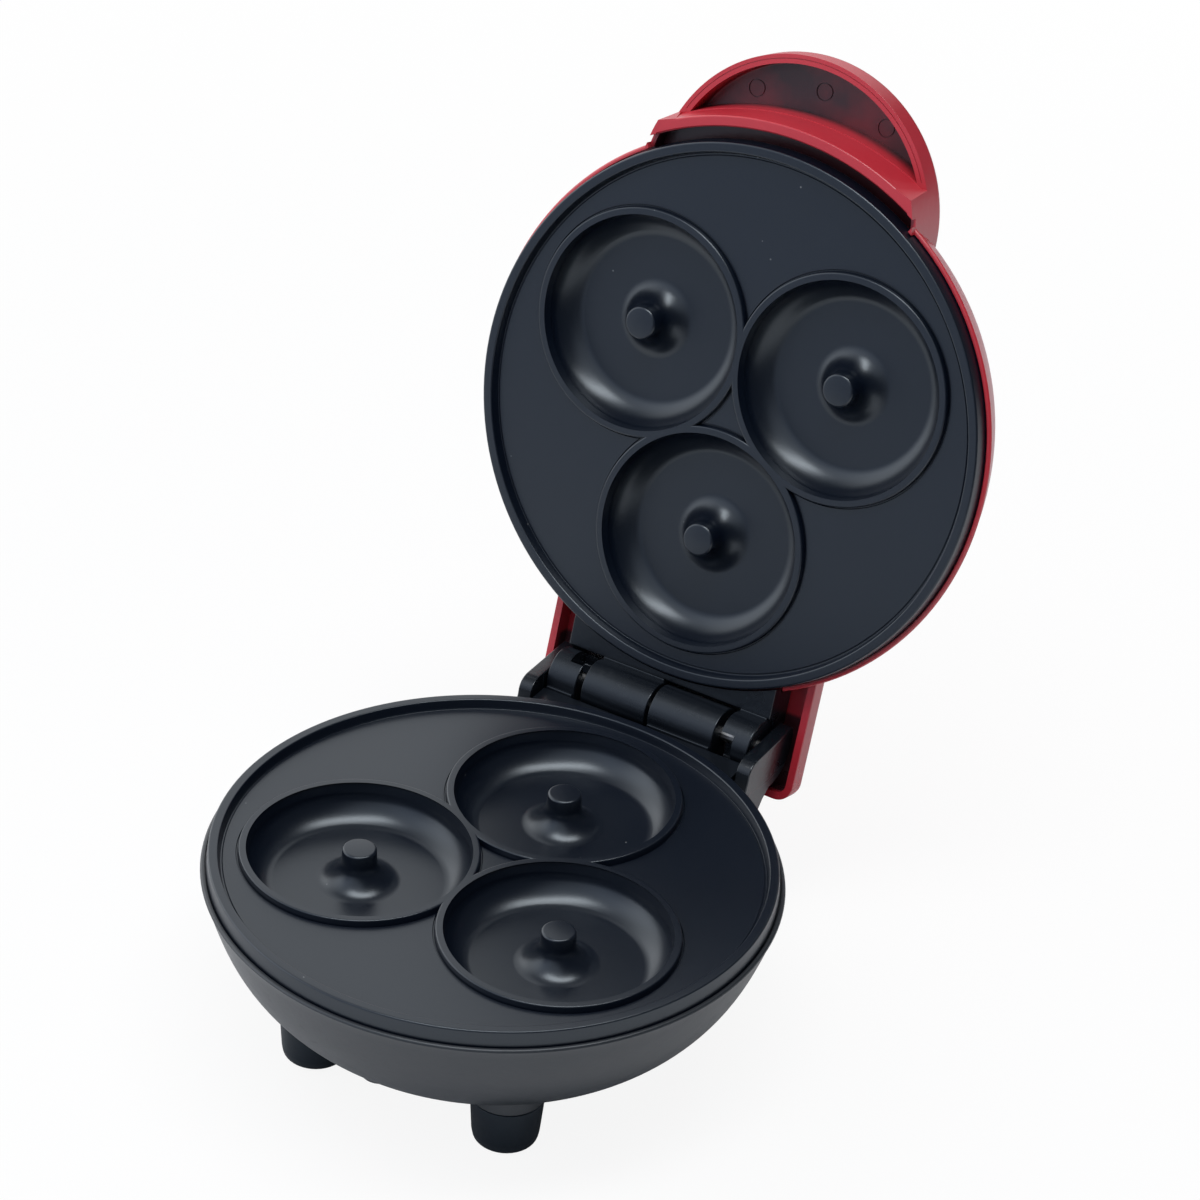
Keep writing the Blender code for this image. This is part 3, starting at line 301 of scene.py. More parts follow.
def hull(name, points):
    """The smallest convex solid around some points."""
    bm = bmesh.new()
    made = bmesh.ops.convex_hull(bm, input=[bm.verts.new(p) for p in points])
    inside = [g for g in made["geom_interior"] if isinstance(g, bmesh.types.BMVert)]
    bmesh.ops.delete(bm, geom=inside, context="VERTS")
    return from_bmesh(name, bm)


def block(name, low, high):
    """A box between two corners."""
    bm = bmesh.new()
    bmesh.ops.create_cube(bm, size=1.0)
    size = [h - l for l, h in zip(low, high)]
    middle = [(h + l) / 2 for l, h in zip(low, high)]
    bmesh.ops.transform(bm, verts=bm.verts, matrix=Matrix.Translation(middle) @ Matrix.Diagonal(size + [1.0]))
    return from_bmesh(name, bm)


def ring(name, inner_r, outer_r, low, high):
    """A flat ring around the plate's middle."""
    outline = [(inner_r, high), (inner_r, low), (outer_r, low), (outer_r, high)]
    return turned(name, outline, BOWL_STEPS, closed=True)


# Materials.


SOCKETS = {
    "colour": "Base Color", "roughness": "Roughness", "normal": "Normal", "metallic": "Metallic",
    "specular": "Specular IOR Level", "tint": "Specular Tint", "transmission": "Transmission Weight",
}


class Nodes:
    """A material, with small helpers that add and link its shader nodes."""

    def __init__(self, name):
        self.material = bpy.data.materials.new(name)
        self.material.use_nodes = True
        self.tree = self.material.node_tree
        self.shader = self.tree.nodes["Principled BSDF"]
        self.place = self.add("ShaderNodeTexCoord").outputs["Object"]

    def add(self, kind, **settings):
        node = self.tree.nodes.new(kind)
        for key, value in settings.items():
            setattr(node, key, value)
        return node

    def link(self, source, target):
        self.tree.links.new(source, target)

    def noise(self, scale, detail=4.0, roughness=0.55, distortion=0.0):
        node = self.add("ShaderNodeTexNoise")
        node.inputs["Scale"].default_value = scale
        node.inputs["Detail"].default_value = detail
        node.inputs["Roughness"].default_value = roughness
        node.inputs["Distortion"].default_value = distortion
        self.link(self.place, node.inputs["Vector"])
        return node.outputs["Fac"]

    def cells(self, scale):
        """The distance to the nearest of scattered points."""
        node = self.add("ShaderNodeTexVoronoi")
        node.inputs["Scale"].default_value = scale
        self.link(self.place, node.inputs["Vector"])
        return node.outputs["Distance"]

    def ramp(self, source, low, high, from_value=0.0, to_value=1.0):
        """Maps low..high of a source to from_value..to_value, and holds the end values beyond."""
        node = self.add("ShaderNodeMapRange", clamp=True)
        node.inputs["From Min"].default_value = low
        node.inputs["From Max"].default_value = high
        node.inputs["To Min"].default_value = from_value
        node.inputs["To Max"].default_value = to_value
        self.link(source, node.inputs["Value"])
        return node.outputs["Result"]

    def math(self, operation, a, b):
        node = self.add("ShaderNodeMath", operation=operation)
        for value, target in ((a, node.inputs[0]), (b, node.inputs[1])):
            if isinstance(value, (int, float)):
                target.default_value = value
            else:
                self.link(value, target)
        return node.outputs[0]

    def region(self, *limits):
        """1 in a region, 0 outside. A limit is a coordinate, and where its share is 0 and where it is 1."""
        share, *others = [self.ramp(*limit) for limit in limits]
        for other in others:
            share = self.math("MULTIPLY", share, other)
        return share

    def length(self, u, v):
        squares = self.math("ADD", self.math("MULTIPLY", u, u), self.math("MULTIPLY", v, v))
        return self.math("SQRT", squares, 0.0)

    def in_half_frame(self, axis, place):
        """A coordinate of the base's or the lid's frame, from the object's own coordinates."""
        row = place.inverted()[axis]
        dot = self.add("ShaderNodeVectorMath", operation="DOT_PRODUCT")
        self.link(self.place, dot.inputs[0])
        dot.inputs[1].default_value = row[:3]
        return self.math("ADD", dot.outputs["Value"], row[3])

    def mix(self, share, a, b):
        """The colour a where the share is 0, and b where it is 1."""
        node = self.add("ShaderNodeMix", data_type="RGBA")
        for value, target in ((a, node.inputs[6]), (b, node.inputs[7])):
            if isinstance(value, tuple):
                target.default_value = (*value, 1.0)
            else:
                self.link(value, target)
        self.link(share, node.inputs[0])
        return node.outputs[2]

    def bump(self, height, strength, distance, normal=None):
        node = self.add("ShaderNodeBump")
        node.inputs["Strength"].default_value = strength
        node.inputs["Distance"].default_value = distance
        self.link(height, node.inputs["Height"])
        if normal is not None:
            self.link(normal, node.inputs["Normal"])
        return node.outputs["Normal"]

    def source(self, key):
        """What is linked to a socket of the shader so far."""
        return self.shader.inputs[SOCKETS[key]].links[0].from_socket

    def set(self, **values):
        for key, value in values.items():
            target = self.shader.inputs[SOCKETS[key]]
            if isinstance(value, tuple):
                target.default_value = (*value, 1.0)
            elif isinstance(value, (int, float)):
                target.default_value = value
            else:
                self.link(value, target)
        return self.material


def moulded_plastic(name, colour, dark, roughness, grain, specular, tint=(1.0, 1.0, 1.0)):
    """Moulded plastic: a fine spark-eroded grain, slight flow mottling and a few faint scuffs."""
    n = Nodes(name)
    flow = n.noise(45.0, 3.0)
    fine = n.noise(3200.0, 2.0)
    scuff = n.noise(260.0, 6.0, 0.7, 1.5)
    base = n.mix(n.ramp(flow, 0.30, 0.72), dark, colour)
    mottling = n.ramp(flow, 0.25, 0.75, roughness - 0.04, roughness + 0.04)
    rough = n.math("ADD", mottling, n.ramp(scuff, 0.58, 0.75, 0.0, 0.10))
    soft = n.bump(n.noise(320.0, 2.0), strength=0.12, distance=0.0004)
    normal = n.bump(fine, strength=grain, distance=0.00006, normal=soft)
    n.set(colour=base, roughness=rough, normal=normal, specular=specular, tint=tint)
    return n


def red_plastic():
    """Glossy red plastic, with painted shade, a near-black red, in the handle's pocket, in the deep groove
    and in the tail.
    """
    n = moulded_plastic("red_gloss_plastic", colour=(0.51, 0.026, 0.041), dark=(0.47, 0.022, 0.036),
                        roughness=0.30, grain=0.18, specular=0.75)
    x, y, h = (n.in_half_frame(axis, TO_LID) for axis in range(3))
    from_grip = n.length(x, n.math("SUBTRACT", y, HANDLE_Y))
    from_middle = n.length(x, y)
    pocket = n.region(
        (from_grip, POCKET_R + 0.0004, POCKET_R - 0.0002),
        (h, POCKET_FLOOR + 0.0036, POCKET_FLOOR + 0.0008),
        (from_middle, ARC_OUTER_R - 0.00065, ARC_OUTER_R - 0.00025),
        (h, HANDLE_TOP + 0.0010, HANDLE_TOP + 0.0014),
    )
    groove = n.region(
        (from_middle, ARC_INNER_R + 0.0002, ARC_INNER_R - 0.00015),
        (h, -0.0004, -0.0030),
        (y, -0.045, -0.050),
        (from_middle, 0.0600, 0.0610),
        (from_grip, HANDLE_R - 0.0003, HANDLE_R - 0.0007),
        (h, ARC_GROOVE_FLOOR - 0.0014, ARC_GROOVE_FLOOR - 0.0006),
    )
    channel = n.region(
        (n.math("ABSOLUTE", x, 0.0), TAIL_INNER + 0.0003, TAIL_INNER + 0.0001),
        (y, 0.0640, 0.0650),
        (y, TAIL_END - 0.0015, TAIL_END - 0.0017),
        (h, TAIL_TOP + 0.0014, TAIL_TOP + 0.0016),
        (h, TAIL_RIM - 0.0004, TAIL_RIM - 0.0024),
    )
    # Painted shade in the handle's pocket, made uneven in patches by a noise.
    shade_patches = n.ramp(n.noise(70.0, 3.0), 0.35, 0.65, 0.72, 0.97)
    hollows = n.math("MULTIPLY", n.math("MAXIMUM", groove, channel), 0.93)
    share = n.math("MAXIMUM", n.math("MULTIPLY", pocket, shade_patches), hollows)
    # Painted shade: the pocket, the deep groove and the tail's channel are mixed towards near-black red.
    return n.set(colour=n.mix(share, n.source("colour"), (0.024, 0.011, 0.016)))


def black_plastic():
    """Satin black plastic, more polished on the two ears, which are also painted darker as shade."""
    n = moulded_plastic("black_satin_plastic", colour=(0.024, 0.027, 0.032), dark=(0.016, 0.019, 0.023),
                        roughness=0.36, grain=0.25, specular=0.62, tint=(0.90, 0.95, 1.0))
    y, h = (n.in_half_frame(axis, TO_BASE) for axis in (1, 2))
    ears = n.region((y, 0.0578, 0.0590), (h, -0.0070, -0.0030))
    rough = n.math("SUBTRACT", n.source("roughness"), n.math("MULTIPLY", ears, 0.10))
    # Painted shade: the ears, which sit inside the lid's tail, are taken to a darker black.
    return n.set(colour=n.mix(ears, n.source("colour"), (0.0045, 0.0065, 0.0095)), roughness=rough)


def hinge_plastic():
    n = moulded_plastic("black_hinge_plastic", colour=(0.0060, 0.0080, 0.0115), dark=(0.0040, 0.0055, 0.0085),
                        roughness=0.28, grain=0.25, specular=0.58, tint=(0.82, 0.91, 1.0))
    return n.material


def foot_rubber():
    n = moulded_plastic("foot_rubber_matte", colour=(0.0035, 0.0065, 0.0115), dark=(0.0025, 0.0045, 0.0085),
                        roughness=0.42, grain=0.4, specular=0.42, tint=(0.72, 0.87, 1.0))
    return n.material


def coated_plate():
    """Sprayed dark non-stick coating: a fine pebbled skin with a few pale specks of dust."""
    n = Nodes("nonstick_coating")
    cloud = n.noise(28.0, 4.0)
    spray = n.noise(1500.0, 3.0, 0.6)
    pebble = n.noise(5200.0, 2.0)
    specks = n.cells(140.0)
    patch = n.noise(70.0, 2.0)
    keep = n.math("MULTIPLY", n.ramp(specks, 0.020, 0.034, 1.0, 0.0), n.ramp(patch, 0.50, 0.56))
    base = n.mix(n.ramp(cloud, 0.3, 0.7), (0.0011, 0.0030, 0.0085), (0.0018, 0.0042, 0.0105))
    base = n.mix(n.math("MULTIPLY", keep, 0.55), base, (0.30, 0.31, 0.32))
    rough = n.ramp(spray, 0.3, 0.7, 0.285, 0.32)
    normal = n.bump(pebble, 0.06, 0.00005, n.bump(spray, 0.04, 0.00010))
    return n.set(colour=base, roughness=rough, normal=normal, specular=0.78, tint=(0.84, 0.93, 1.0))


def pressed_steel():
    n = Nodes("pressed_steel")
    streak = n.noise(900.0, 3.0)
    cloud = n.noise(60.0, 4.0)
    base = n.mix(n.ramp(cloud, 0.3, 0.7), (0.48, 0.48, 0.47), (0.60, 0.60, 0.59))
    normal = n.bump(streak, 0.15, 0.00006)
    return n.set(colour=base, metallic=1.0, roughness=n.ramp(streak, 0.3, 0.7, 0.26, 0.40), normal=normal)


def zinc_plate():
    n = Nodes("zinc_plating")
    spangle = n.cells(900.0)
    cloud = n.noise(400.0, 3.0)
    base = n.mix(n.ramp(spangle, 0.0, 0.8), (0.50, 0.49, 0.44), (0.40, 0.41, 0.42))
    return n.set(colour=base, metallic=1.0, roughness=n.ramp(cloud, 0.3, 0.7, 0.32, 0.46),
                 normal=n.bump(cloud, 0.15, 0.00005))


def heated_sheath():
    n = Nodes("element_sheath_stained")
    stain = n.noise(90.0, 5.0)
    base = n.mix(n.ramp(stain, 0.35, 0.65), (0.30, 0.26, 0.22), (0.16, 0.12, 0.11))
    return n.set(colour=base, metallic=0.9, roughness=n.ramp(stain, 0.3, 0.7, 0.38, 0.55),
                 normal=n.bump(n.noise(1500.0), 0.2, 0.00006))


def pale_ceramic():
    n = Nodes("steatite_ceramic")
    grain = n.noise(1800.0, 4.0)
    cloud = n.noise(120.0, 3.0)
    base = n.mix(n.ramp(cloud, 0.3, 0.7), (0.66, 0.63, 0.55), (0.74, 0.71, 0.64))
    return n.set(colour=base, roughness=n.ramp(grain, 0.3, 0.7, 0.48, 0.62),
                 normal=n.bump(grain, 0.35, 0.00008))


def amber_lens():
    n = Nodes("amber_lens")
    cloud = n.noise(300.0, 2.0)
    base = n.mix(n.ramp(cloud, 0.3, 0.7), (0.80, 0.16, 0.04), (0.88, 0.24, 0.06))
    return n.set(colour=base, roughness=n.ramp(cloud, 0.3, 0.7, 0.08, 0.14), transmission=0.35,
                 normal=n.bump(cloud, 0.05, 0.0001))


def lamp_glass():
    n = Nodes("lamp_glass")
    cloud = n.noise(500.0, 2.0)
    base = n.mix(n.ramp(cloud, 0.3, 0.7), (0.85, 0.50, 0.30), (0.90, 0.58, 0.36))
    return n.set(colour=base, roughness=n.ramp(cloud, 0.3, 0.7, 0.05, 0.10), transmission=0.6,
                 normal=n.bump(cloud, 0.05, 0.0001))


RED = red_plastic()
BLACK = black_plastic()
HINGE_BLACK = hinge_plastic()
RUBBER = foot_rubber()
COATING = coated_plate()
STEEL = pressed_steel()
ZINC = zinc_plate()
SHEATH = heated_sheath()
CERAMIC = pale_ceramic()
AMBER = amber_lens()
GLASS = lamp_glass()


# Publishing pieces.


def clean(mesh):
    """Merges what cutting left doubled, and removes tiny corners between two faces, which make slivers."""
    merge, shortest = 2e-7, 0.0002
    bm = bmesh.new()
    bm.from_mesh(mesh)
    bmesh.ops.remove_doubles(bm, verts=bm.verts, dist=merge)
    bmesh.ops.dissolve_degenerate(bm, edges=bm.edges, dist=merge / 2)
    between = [v for v in bm.verts if len(v.link_edges) == 2]
    spare = [v for v in between if min(e.calc_length() for e in v.link_edges) < shortest]
    bmesh.ops.dissolve_verts(bm, verts=spare)
    bm.to_mesh(mesh)
    bm.free()


# Edges sharper than these angles, in degrees, are shaded sharp.
SOLID_SHARP = 28.0
PLATE_SHARP = 40.0


def publish(obj, name, place, body, finish, nodes, sharp=SOLID_SHARP):
    """Moves a finished solid to its place, gives it its finish and its body, and hides the CAD nodes that it
    stands for.
    """
    mesh = obj.data
    mesh.transform(place)
    if place.determinant() < 0:
        mesh.flip_normals()
    clean(mesh)
    mesh.materials.clear()
    mesh.materials.append(finish)
    mesh.shade_smooth()
    mesh.set_sharp_from_angle(angle=math.radians(sharp))
    obj.name = name
    mesh.name = name
    weighted = obj.modifiers.new("shading", "WEIGHTED_NORMAL")
    weighted.keep_sharp = True
    weighted.weight = 90
    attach(obj, body)
    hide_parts(*nodes)
    return obj


# Baking plates.

PLATE_R = 0.0624
RIM_H = 0.0020
RIM_LINE_DEPTH = 0.00022
CAVITY_RING_R = 0.02927
CAVITY_R = 0.02484
CAVITY_ANGLES = (90, 210, 330)
CAVITY_DEPTH = 0.0070
CAVITY_WALL = 0.0022
CAVITY_SHOULDER_IN = 0.0038
BEAD_H = 0.0014
BEAD_W = 0.0016
BEAD_LINE_R = (0.0260, 0.0268)
BEAD_LINE_DEPTH = 0.00028
PEG_R = 0.0038
PEG_ROUND = 0.0006
# Bends of a cavity's wall and of the flare around its peg: up to which angle from upright, and the radius.
WALL_BENDS = ((30, 0.0045), (65, 0.0080), (90, 0.0040))
FLARE_BENDS = ((150, 0.0045), (120, 0.0070), (90, 0.0048))
# Heights over the floor where these bends start.
WALL_BENDS_H = 0.00588
FLARE_BENDS_H = 0.00546


def plate_disc():
    """Field, raised rim with its thin inner groove, and drafted edge."""
    corners = [
        (0, 0, 0),
        (0.05875, 0, 0.0002),
        (0.05895, -RIM_LINE_DEPTH, 0.0001),
        (0.05925, -RIM_LINE_DEPTH, 0.0001),
        (0.0594, 0.0002, 0.0002),
        (0.05985, RIM_H, 0.0004),
        (0.0620, RIM_H, 0.0005),
        (PLATE_R, -0.0020, 0.0003),
        (PLATE_R, -PLATE_T, 0),
        (0, -PLATE_T, 0),
    ]
    return turned("plate_disc", filleted(corners), BOWL_STEPS)


def cavity_groove(centre, phase):
    """The fine groove around a cavity's bead."""
    inner, outer = BEAD_LINE_R
    low, high = -BEAD_LINE_DEPTH, 0.001
    outline = [(outer, high), (outer, -0.00003), (outer - 0.00015, low), (inner, low), (inner, high)]
    return turned("groove", outline, CAVITY_STEPS, centre, closed=True, phase=phase)


def cavity_lump(centre, phase):
    """A cavity's flat-topped bead above the field and its cup below."""
    bead_r = CAVITY_R + BEAD_W
    bottom = -CAVITY_DEPTH - CAVITY_WALL
    corners = [
        (0, BEAD_H, 0),
        (bead_r - 0.0002, BEAD_H, 0.00045),
        (bead_r, -0.0001, 0.0002),
        (bead_r, -PLATE_T - CAVITY_WALL, 0.001),
        (bead_r - CAVITY_SHOULDER_IN, bottom, 0.002),
        (0, bottom, 0),
    ]
    return turned("cavity_lump", filleted(corners), CAVITY_STEPS, centre, phase=phase)


def bend(start, degrees, parts, steps=9):
    """Arcs in a row, smooth where they meet: from a point, to each given angle with its radius."""
    points = [start]
    here = math.radians(-degrees)
    for until, radius in parts:
        there = math.radians(-until)
        u, v = points[-1]
        centre = (u - radius * math.cos(here), v - radius * math.sin(here))
        points += arc_points(centre, radius, here, there, steps)[1:]
        here = there
    return points


def cavity_cutter(centre, phase):
    """The trough of a cavity: a steep wall, a slope, the flat floor and the flare around the peg."""
    edge_r = CAVITY_R + 0.0001
    mouth_r = edge_r - 0.0003
    wall_r = edge_r - 0.0005
    flat_r = PEG_R - PEG_ROUND
    floor = -CAVITY_DEPTH
    corners = [
        (flat_r, OVER, 0),
        (mouth_r, OVER, 0),
        (mouth_r, BEAD_H, 0.0001),
        (edge_r, BEAD_H - 0.0004, 0.0003),
        (wall_r, -0.0009, 0),
    ]
    profile = filleted(corners, 4)
    profile += bend((wall_r, floor + WALL_BENDS_H), 0, WALL_BENDS)[1:]
    profile += bend((PEG_R + 0.0001, floor + FLARE_BENDS_H), 180, FLARE_BENDS)[::-1]
    profile += arc_points((flat_r, BEAD_H - PEG_ROUND), PEG_ROUND, 0, math.pi / 2, 5)
    return turned("cavity_cutter", profile, CAVITY_STEPS, centre, closed=True, phase=phase)


def baking_plate():
    """A plate with its cavities. Each tool is turned a little, so that no two have corners in one place."""
    plate = plate_disc()
    centres = [around(CAVITY_RING_R, a) for a in CAVITY_ANGLES]
    phases = [0.011 + 0.021 * i for i in range(len(centres))]
    plate = cut(plate, *[cavity_groove(c, p) for c, p in zip(centres, phases)])
    plate = fuse(plate, *[cavity_lump(c, p + 0.007) for c, p in zip(centres, phases)])
    return cut(plate, *[cavity_cutter(c, p) for c, p in zip(centres, phases)])


# Bowls.

EAR_INNER = 0.0270
EAR_OUTER = 0.0305
NOTCH_OUT = 0.0002
INSIDE_SHARES = (0.38, 0.5, 0.6, 0.7, 0.8, 0.88, 0.94, 1.0)


def bowl_radius(share):
    """Radius of the bowl's outside at a share of its depth."""
    return LIP_R * (1 - BOWL_TAPER * share - BOWL_CURVE * share**BOWL_CURVE_POWER)


def bowl_outer():
    top = -LIP_BELOW
    profile = [(0, top), (LIP_R - LIP_ROUND, top)]
    profile += arc_points((LIP_R - LIP_ROUND, top - LIP_ROUND), LIP_ROUND, math.pi / 2, 0, 4)[1:]
    steps = 30
    for i in range(1, steps + 1):
        share = math.sin(math.pi / 2 * i / steps)
        profile.append((bowl_radius(share), top - BOWL_DEPTH * share))
    end = bowl_radius(1.0)
    profile[-1] = (end - 0.0004, BOWL_END + 0.00022)
    profile += [(end - 0.0013, BOWL_END), (0, BOWL_END)]
    return turned("bowl_outer", profile, BOWL_STEPS)


def bowl_inner():
    """The space in a bowl, with the seat of the plate and the ledge under it."""
    top = -LIP_BELOW
    depth = BOWL_DEPTH - WALL
    ledge_r = LIP_INNER_R - LEDGE_W
    profile = [(0, top + OVER), (LIP_INNER_R, top + OVER), (LIP_INNER_R, LEDGE_H)]
    profile += [(ledge_r, LEDGE_H), (ledge_r, LEDGE_H - LEDGE_T)]
    for share in INSIDE_SHARES:
        profile.append((min(bowl_radius(share) - WALL, ledge_r), top - depth * share))
    profile.append((0, top - depth))
    return turned("bowl_inner", profile, BOWL_STEPS)


def lip_notch():
    """The break in the lip where the hinge block runs up to the plate's rim."""
    half = EAR_INNER + NOTCH_OUT
    notch = ring("notch", LIP_INNER_R - NOTCH_OUT, LIP_R + OVER, LEDGE_H - GAP, OVER)
    return common(notch, block("notch_width", (-half, 0, -2 * OVER), (half, 2 * LIP_R, 2 * OVER)))


# Base housing.

BLOCK_DEPTH = 0.0086
EAR_FRONT = HINGE_BACK - 0.0119
EAR_SLOPE = 0.0036
EAR_FOOT = AXIS_IN_BASE - 0.0017
EAR_TOP = AXIS_IN_BASE + 0.0023
EAR_BACK_R = 0.0090
# Points of an ear's front edge, in shares of the slope: behind the foot, and over the foot or below the top.
EAR_FRONT_SHARES = ((0, 0), (0.08, 0.42), (0.17, 0.62), (0.30, 0.80))
EAR_CREST_SHARES = ((0.46, 0.19), (0.66, 0.085), (0.88, 0.02), (1.10, 0))
NECK_FRONT = HINGE_BACK - 0.021
NECK_LOW = (HINGE_BACK - 0.0093, -0.0155)
NECK_END = (HINGE_BACK - 0.0140, -0.0184)
FOOT_X = 0.0246
FOOT_PLACES = {
    "foot_front_left": (-FOOT_X, -0.0308),
    "foot_front_right": (FOOT_X, -0.0308),
    "foot_rear_left": (-FOOT_X, 0.0540),
    "foot_rear_right": (FOOT_X, 0.0540),
}
FOOT_PAD_R = 0.0083
FOOT_PAD_TOP = -0.0142
FOOT_PAD_END = BOWL_END - 0.0010
POST_RING_R = 0.0430
POST_ANGLES = (150, 270, 30)
POST_R = 0.0042
POST_TOP = -0.0093
HEAD_HOLE_R = 0.0031
HEAD_HOLE_DEPTH = 0.0059
SCREW_HOLE_R = 0.0016
SCREW_HOLE_TOP = -0.0030
HINGE_SCREW_X = 0.01595
HINGE_SCREW_Y = HINGE_BACK - 0.0058
HINGE_HEAD_HOLE_TOP = -0.0119
HINGE_HOLE_REACH = (-0.0180, -0.0060)
# The cord's outlet: its middle in (x, height), and where its boss and its hole reach in y.
OUTLET = (0, -0.0250)
OUTLET_BOSS_R = 0.0058
OUTLET_BOSS_REACH = (0.0480, 0.0560)
OUTLET_HOLE_R = 0.0047
OUTLET_HOLE_REACH = (0.0420, 0.0620)


def ear_outline():
    """Side view of an ear, in (y, height)."""
    inside = -LIP_BELOW - LIP_ROUND
    outline = [(NECK_FRONT, AXIS_IN_BASE - 0.0155), (NECK_FRONT, inside), (EAR_FRONT - EAR_SLOPE / 4, inside)]
    outline += [(EAR_FRONT + u * EAR_SLOPE, EAR_FOOT + v * EAR_SLOPE) for u, v in EAR_FRONT_SHARES]
    outline += [(EAR_FRONT + u * EAR_SLOPE, EAR_TOP - v * EAR_SLOPE) for u, v in EAR_CREST_SHARES]
    outline += arc_points((HINGE_BACK, AXIS_IN_BASE), EAR_BACK_R, math.radians(15), math.radians(-95), 24)
    return outline + [(HINGE_BACK - 0.0035, AXIS_IN_BASE - 0.0107), NECK_LOW, NECK_END]


def hinge_neck():
    """The two ears and the floor between them."""
    top = -BLOCK_DEPTH - GAP
    bottom = NECK_LOW[1] + GAP
    floor = [(NECK_FRONT, bottom), (NECK_FRONT, top), (HINGE_BACK - 0.0038, top)]
    floor += [(NECK_LOW[0], bottom), (NECK_END[0], NECK_END[1] + GAP)]
    reach = EAR_OUTER - 0.0009
    neck = prism("neck", floor, -reach, reach, axis="X")
    for side in (-1, 1):
        low, high = sorted((side * EAR_INNER, side * EAR_OUTER))
        neck = fuse(neck, prism("ear", ear_outline(), low, high, axis="X", edge=0.0004))
    return neck


def base_housing():
    body = fuse(bowl_outer(), hinge_neck())
    pad = [(0, FOOT_PAD_TOP, 0), (FOOT_PAD_R, FOOT_PAD_TOP, 0), (FOOT_PAD_R, FOOT_PAD_END, 0.0003),
           (0, FOOT_PAD_END, 0)]
    for centre in FOOT_PLACES.values():
        body = fuse(body, turned("pad", filleted(pad, 3), SMALL_STEPS, centre))
    body = fuse(body, rod("outlet_boss", OUTLET_BOSS_R, *OUTLET_BOSS_REACH, OUTLET, edge=0.0004, axis="Y"))
    body = cut(body, bowl_inner(), lip_notch())
    for angle in POST_ANGLES:
        centre = around(POST_RING_R, angle)
        body = fuse(body, rod("post", POST_R, BOWL_END + 0.001, POST_TOP, centre))
        body = cut(body, rod("head_hole", HEAD_HOLE_R, BOWL_END - OVER, BOWL_END + HEAD_HOLE_DEPTH, centre))
        body = cut(body, rod("post_hole", SCREW_HOLE_R, BOWL_END, SCREW_HOLE_TOP, centre))
    for side in (-1, 1):
        centre = (side * HINGE_SCREW_X, HINGE_SCREW_Y)
        body = cut(body, rod("hinge_head_hole", HEAD_HOLE_R, BOWL_END, HINGE_HEAD_HOLE_TOP, centre))
        body = cut(body, rod("hinge_hole", SCREW_HOLE_R, *HINGE_HOLE_REACH, centre))
    return cut(body, rod("outlet_hole", OUTLET_HOLE_R, *OUTLET_HOLE_REACH, OUTLET, axis="Y"))


# Hinge blocks.

KNUCKLE_R = 0.0060
KNUCKLE_STEPS = 54
CRADLE_R = KNUCKLE_R + 0.0006
CRADLE_STEPS = 24
CRADLE_TO = math.radians(266)
BLOCK_HALF = 0.0266
BLOCK_FACE = 0.0005
BLOCK_LOW = -0.016
BORE_R = 0.0017
# Where the inner and the outer knuckle of a side begin and end, from the middle of the hinge.
SPANS = ((0.0004, 0.0173), (0.0189, 0.0264))
SLOT_L = 0.0035
SLOT_FRONT = HINGE_BACK - 0.0025
SLOT_BACK = HINGE_BACK + 0.0045
SLOT_FLOOR = 0.0011
STEP_TOP = 0.0011


def knuckle(axis_h, low, high):
    """A barrel and the web that roots it in the block."""
    start, end = math.radians(-80), math.radians(190)
    outline = arc_points((HINGE_BACK, axis_h), KNUCKLE_R, start, end, KNUCKLE_STEPS)
    outline += [(LIP_R + 0.0006, -0.0026), (HINGE_BACK - 0.0036, -0.0069)]
    return prism("knuckle", outline, low, high, axis="X", edge=0.00035)


def knuckle_slot(axis_h, low, high):
    """The core slot over the pin at an outer knuckle's inner end."""
    floor = axis_h + SLOT_FLOOR
    slot = block("slot", (low, SLOT_FRONT, floor), (high, SLOT_BACK, axis_h + 2 * OVER))
    return round_edges(slot, lambda p: p.z < floor + NEAR, 0.0004, 3)


def knuckle_step(low, high):
    """The small ledge in front of a knuckle."""
    inset = 0.0004
    front, back = HINGE_BACK - 0.00655, HINGE_BACK - 0.0056
    step = block("step", (low + inset, front, -0.001), (high - inset, back, STEP_TOP))
    return round_edges(step, lambda p: p.z > STEP_TOP - 0.0001, 0.00025, 3)


def block_front():
    """The space of the bowl and the plate in front of a block, with a step for the lip's notch."""
    outside = LIP_R + GAP
    profile = [(0, BLOCK_LOW), (outside, BLOCK_LOW), (outside, LEDGE_H), (LIP_INNER_R, LEDGE_H)]
    profile += [(LIP_INNER_R, OVER), (0, OVER)]
    return turned("block_front", profile, BOWL_STEPS)


def hinge_block(axis_h, spans, slot):
    start = math.pi + math.asin((axis_h - BLOCK_FACE) / CRADLE_R)
    back = HINGE_BACK + CRADLE_R * math.cos(CRADLE_TO)
    outline = [(NECK_FRONT, -BLOCK_DEPTH), (NECK_FRONT, BLOCK_FACE)]
    outline += arc_points((HINGE_BACK, axis_h), CRADLE_R, start, CRADLE_TO, CRADLE_STEPS)
    outline += [(back, -0.0069), (back - 0.002, -BLOCK_DEPTH)]
    body = prism("block", outline, -BLOCK_HALF, BLOCK_HALF, axis="X", edge=0.0003)
    body = cut(body, block_front())
    for low, high in spans:
        body = fuse(body, knuckle_step(low, high), knuckle(axis_h, low, high))
    body = cut(body, knuckle_slot(axis_h, *slot))
    return cut(body, rod("bore", BORE_R, -0.0300, 0.0300, (HINGE_BACK, axis_h), axis="X"))


# Lid cover.

PIN_MARKS = ((-0.01635, -0.0706), (0.01635, -0.0706), (0, -0.0743))
PIN_MARK_R = (0.0018, 0.0021)
PIN_MARK_DEPTH = 0.0003
HANDLE_LINE_R = (0.0329, 0.0331)
HANDLE_LINE_DEPTH = 0.00018
POCKET_GAP = 0.00015
LENS_Y = -0.0180
LENS_HOLE_R = 0.0033
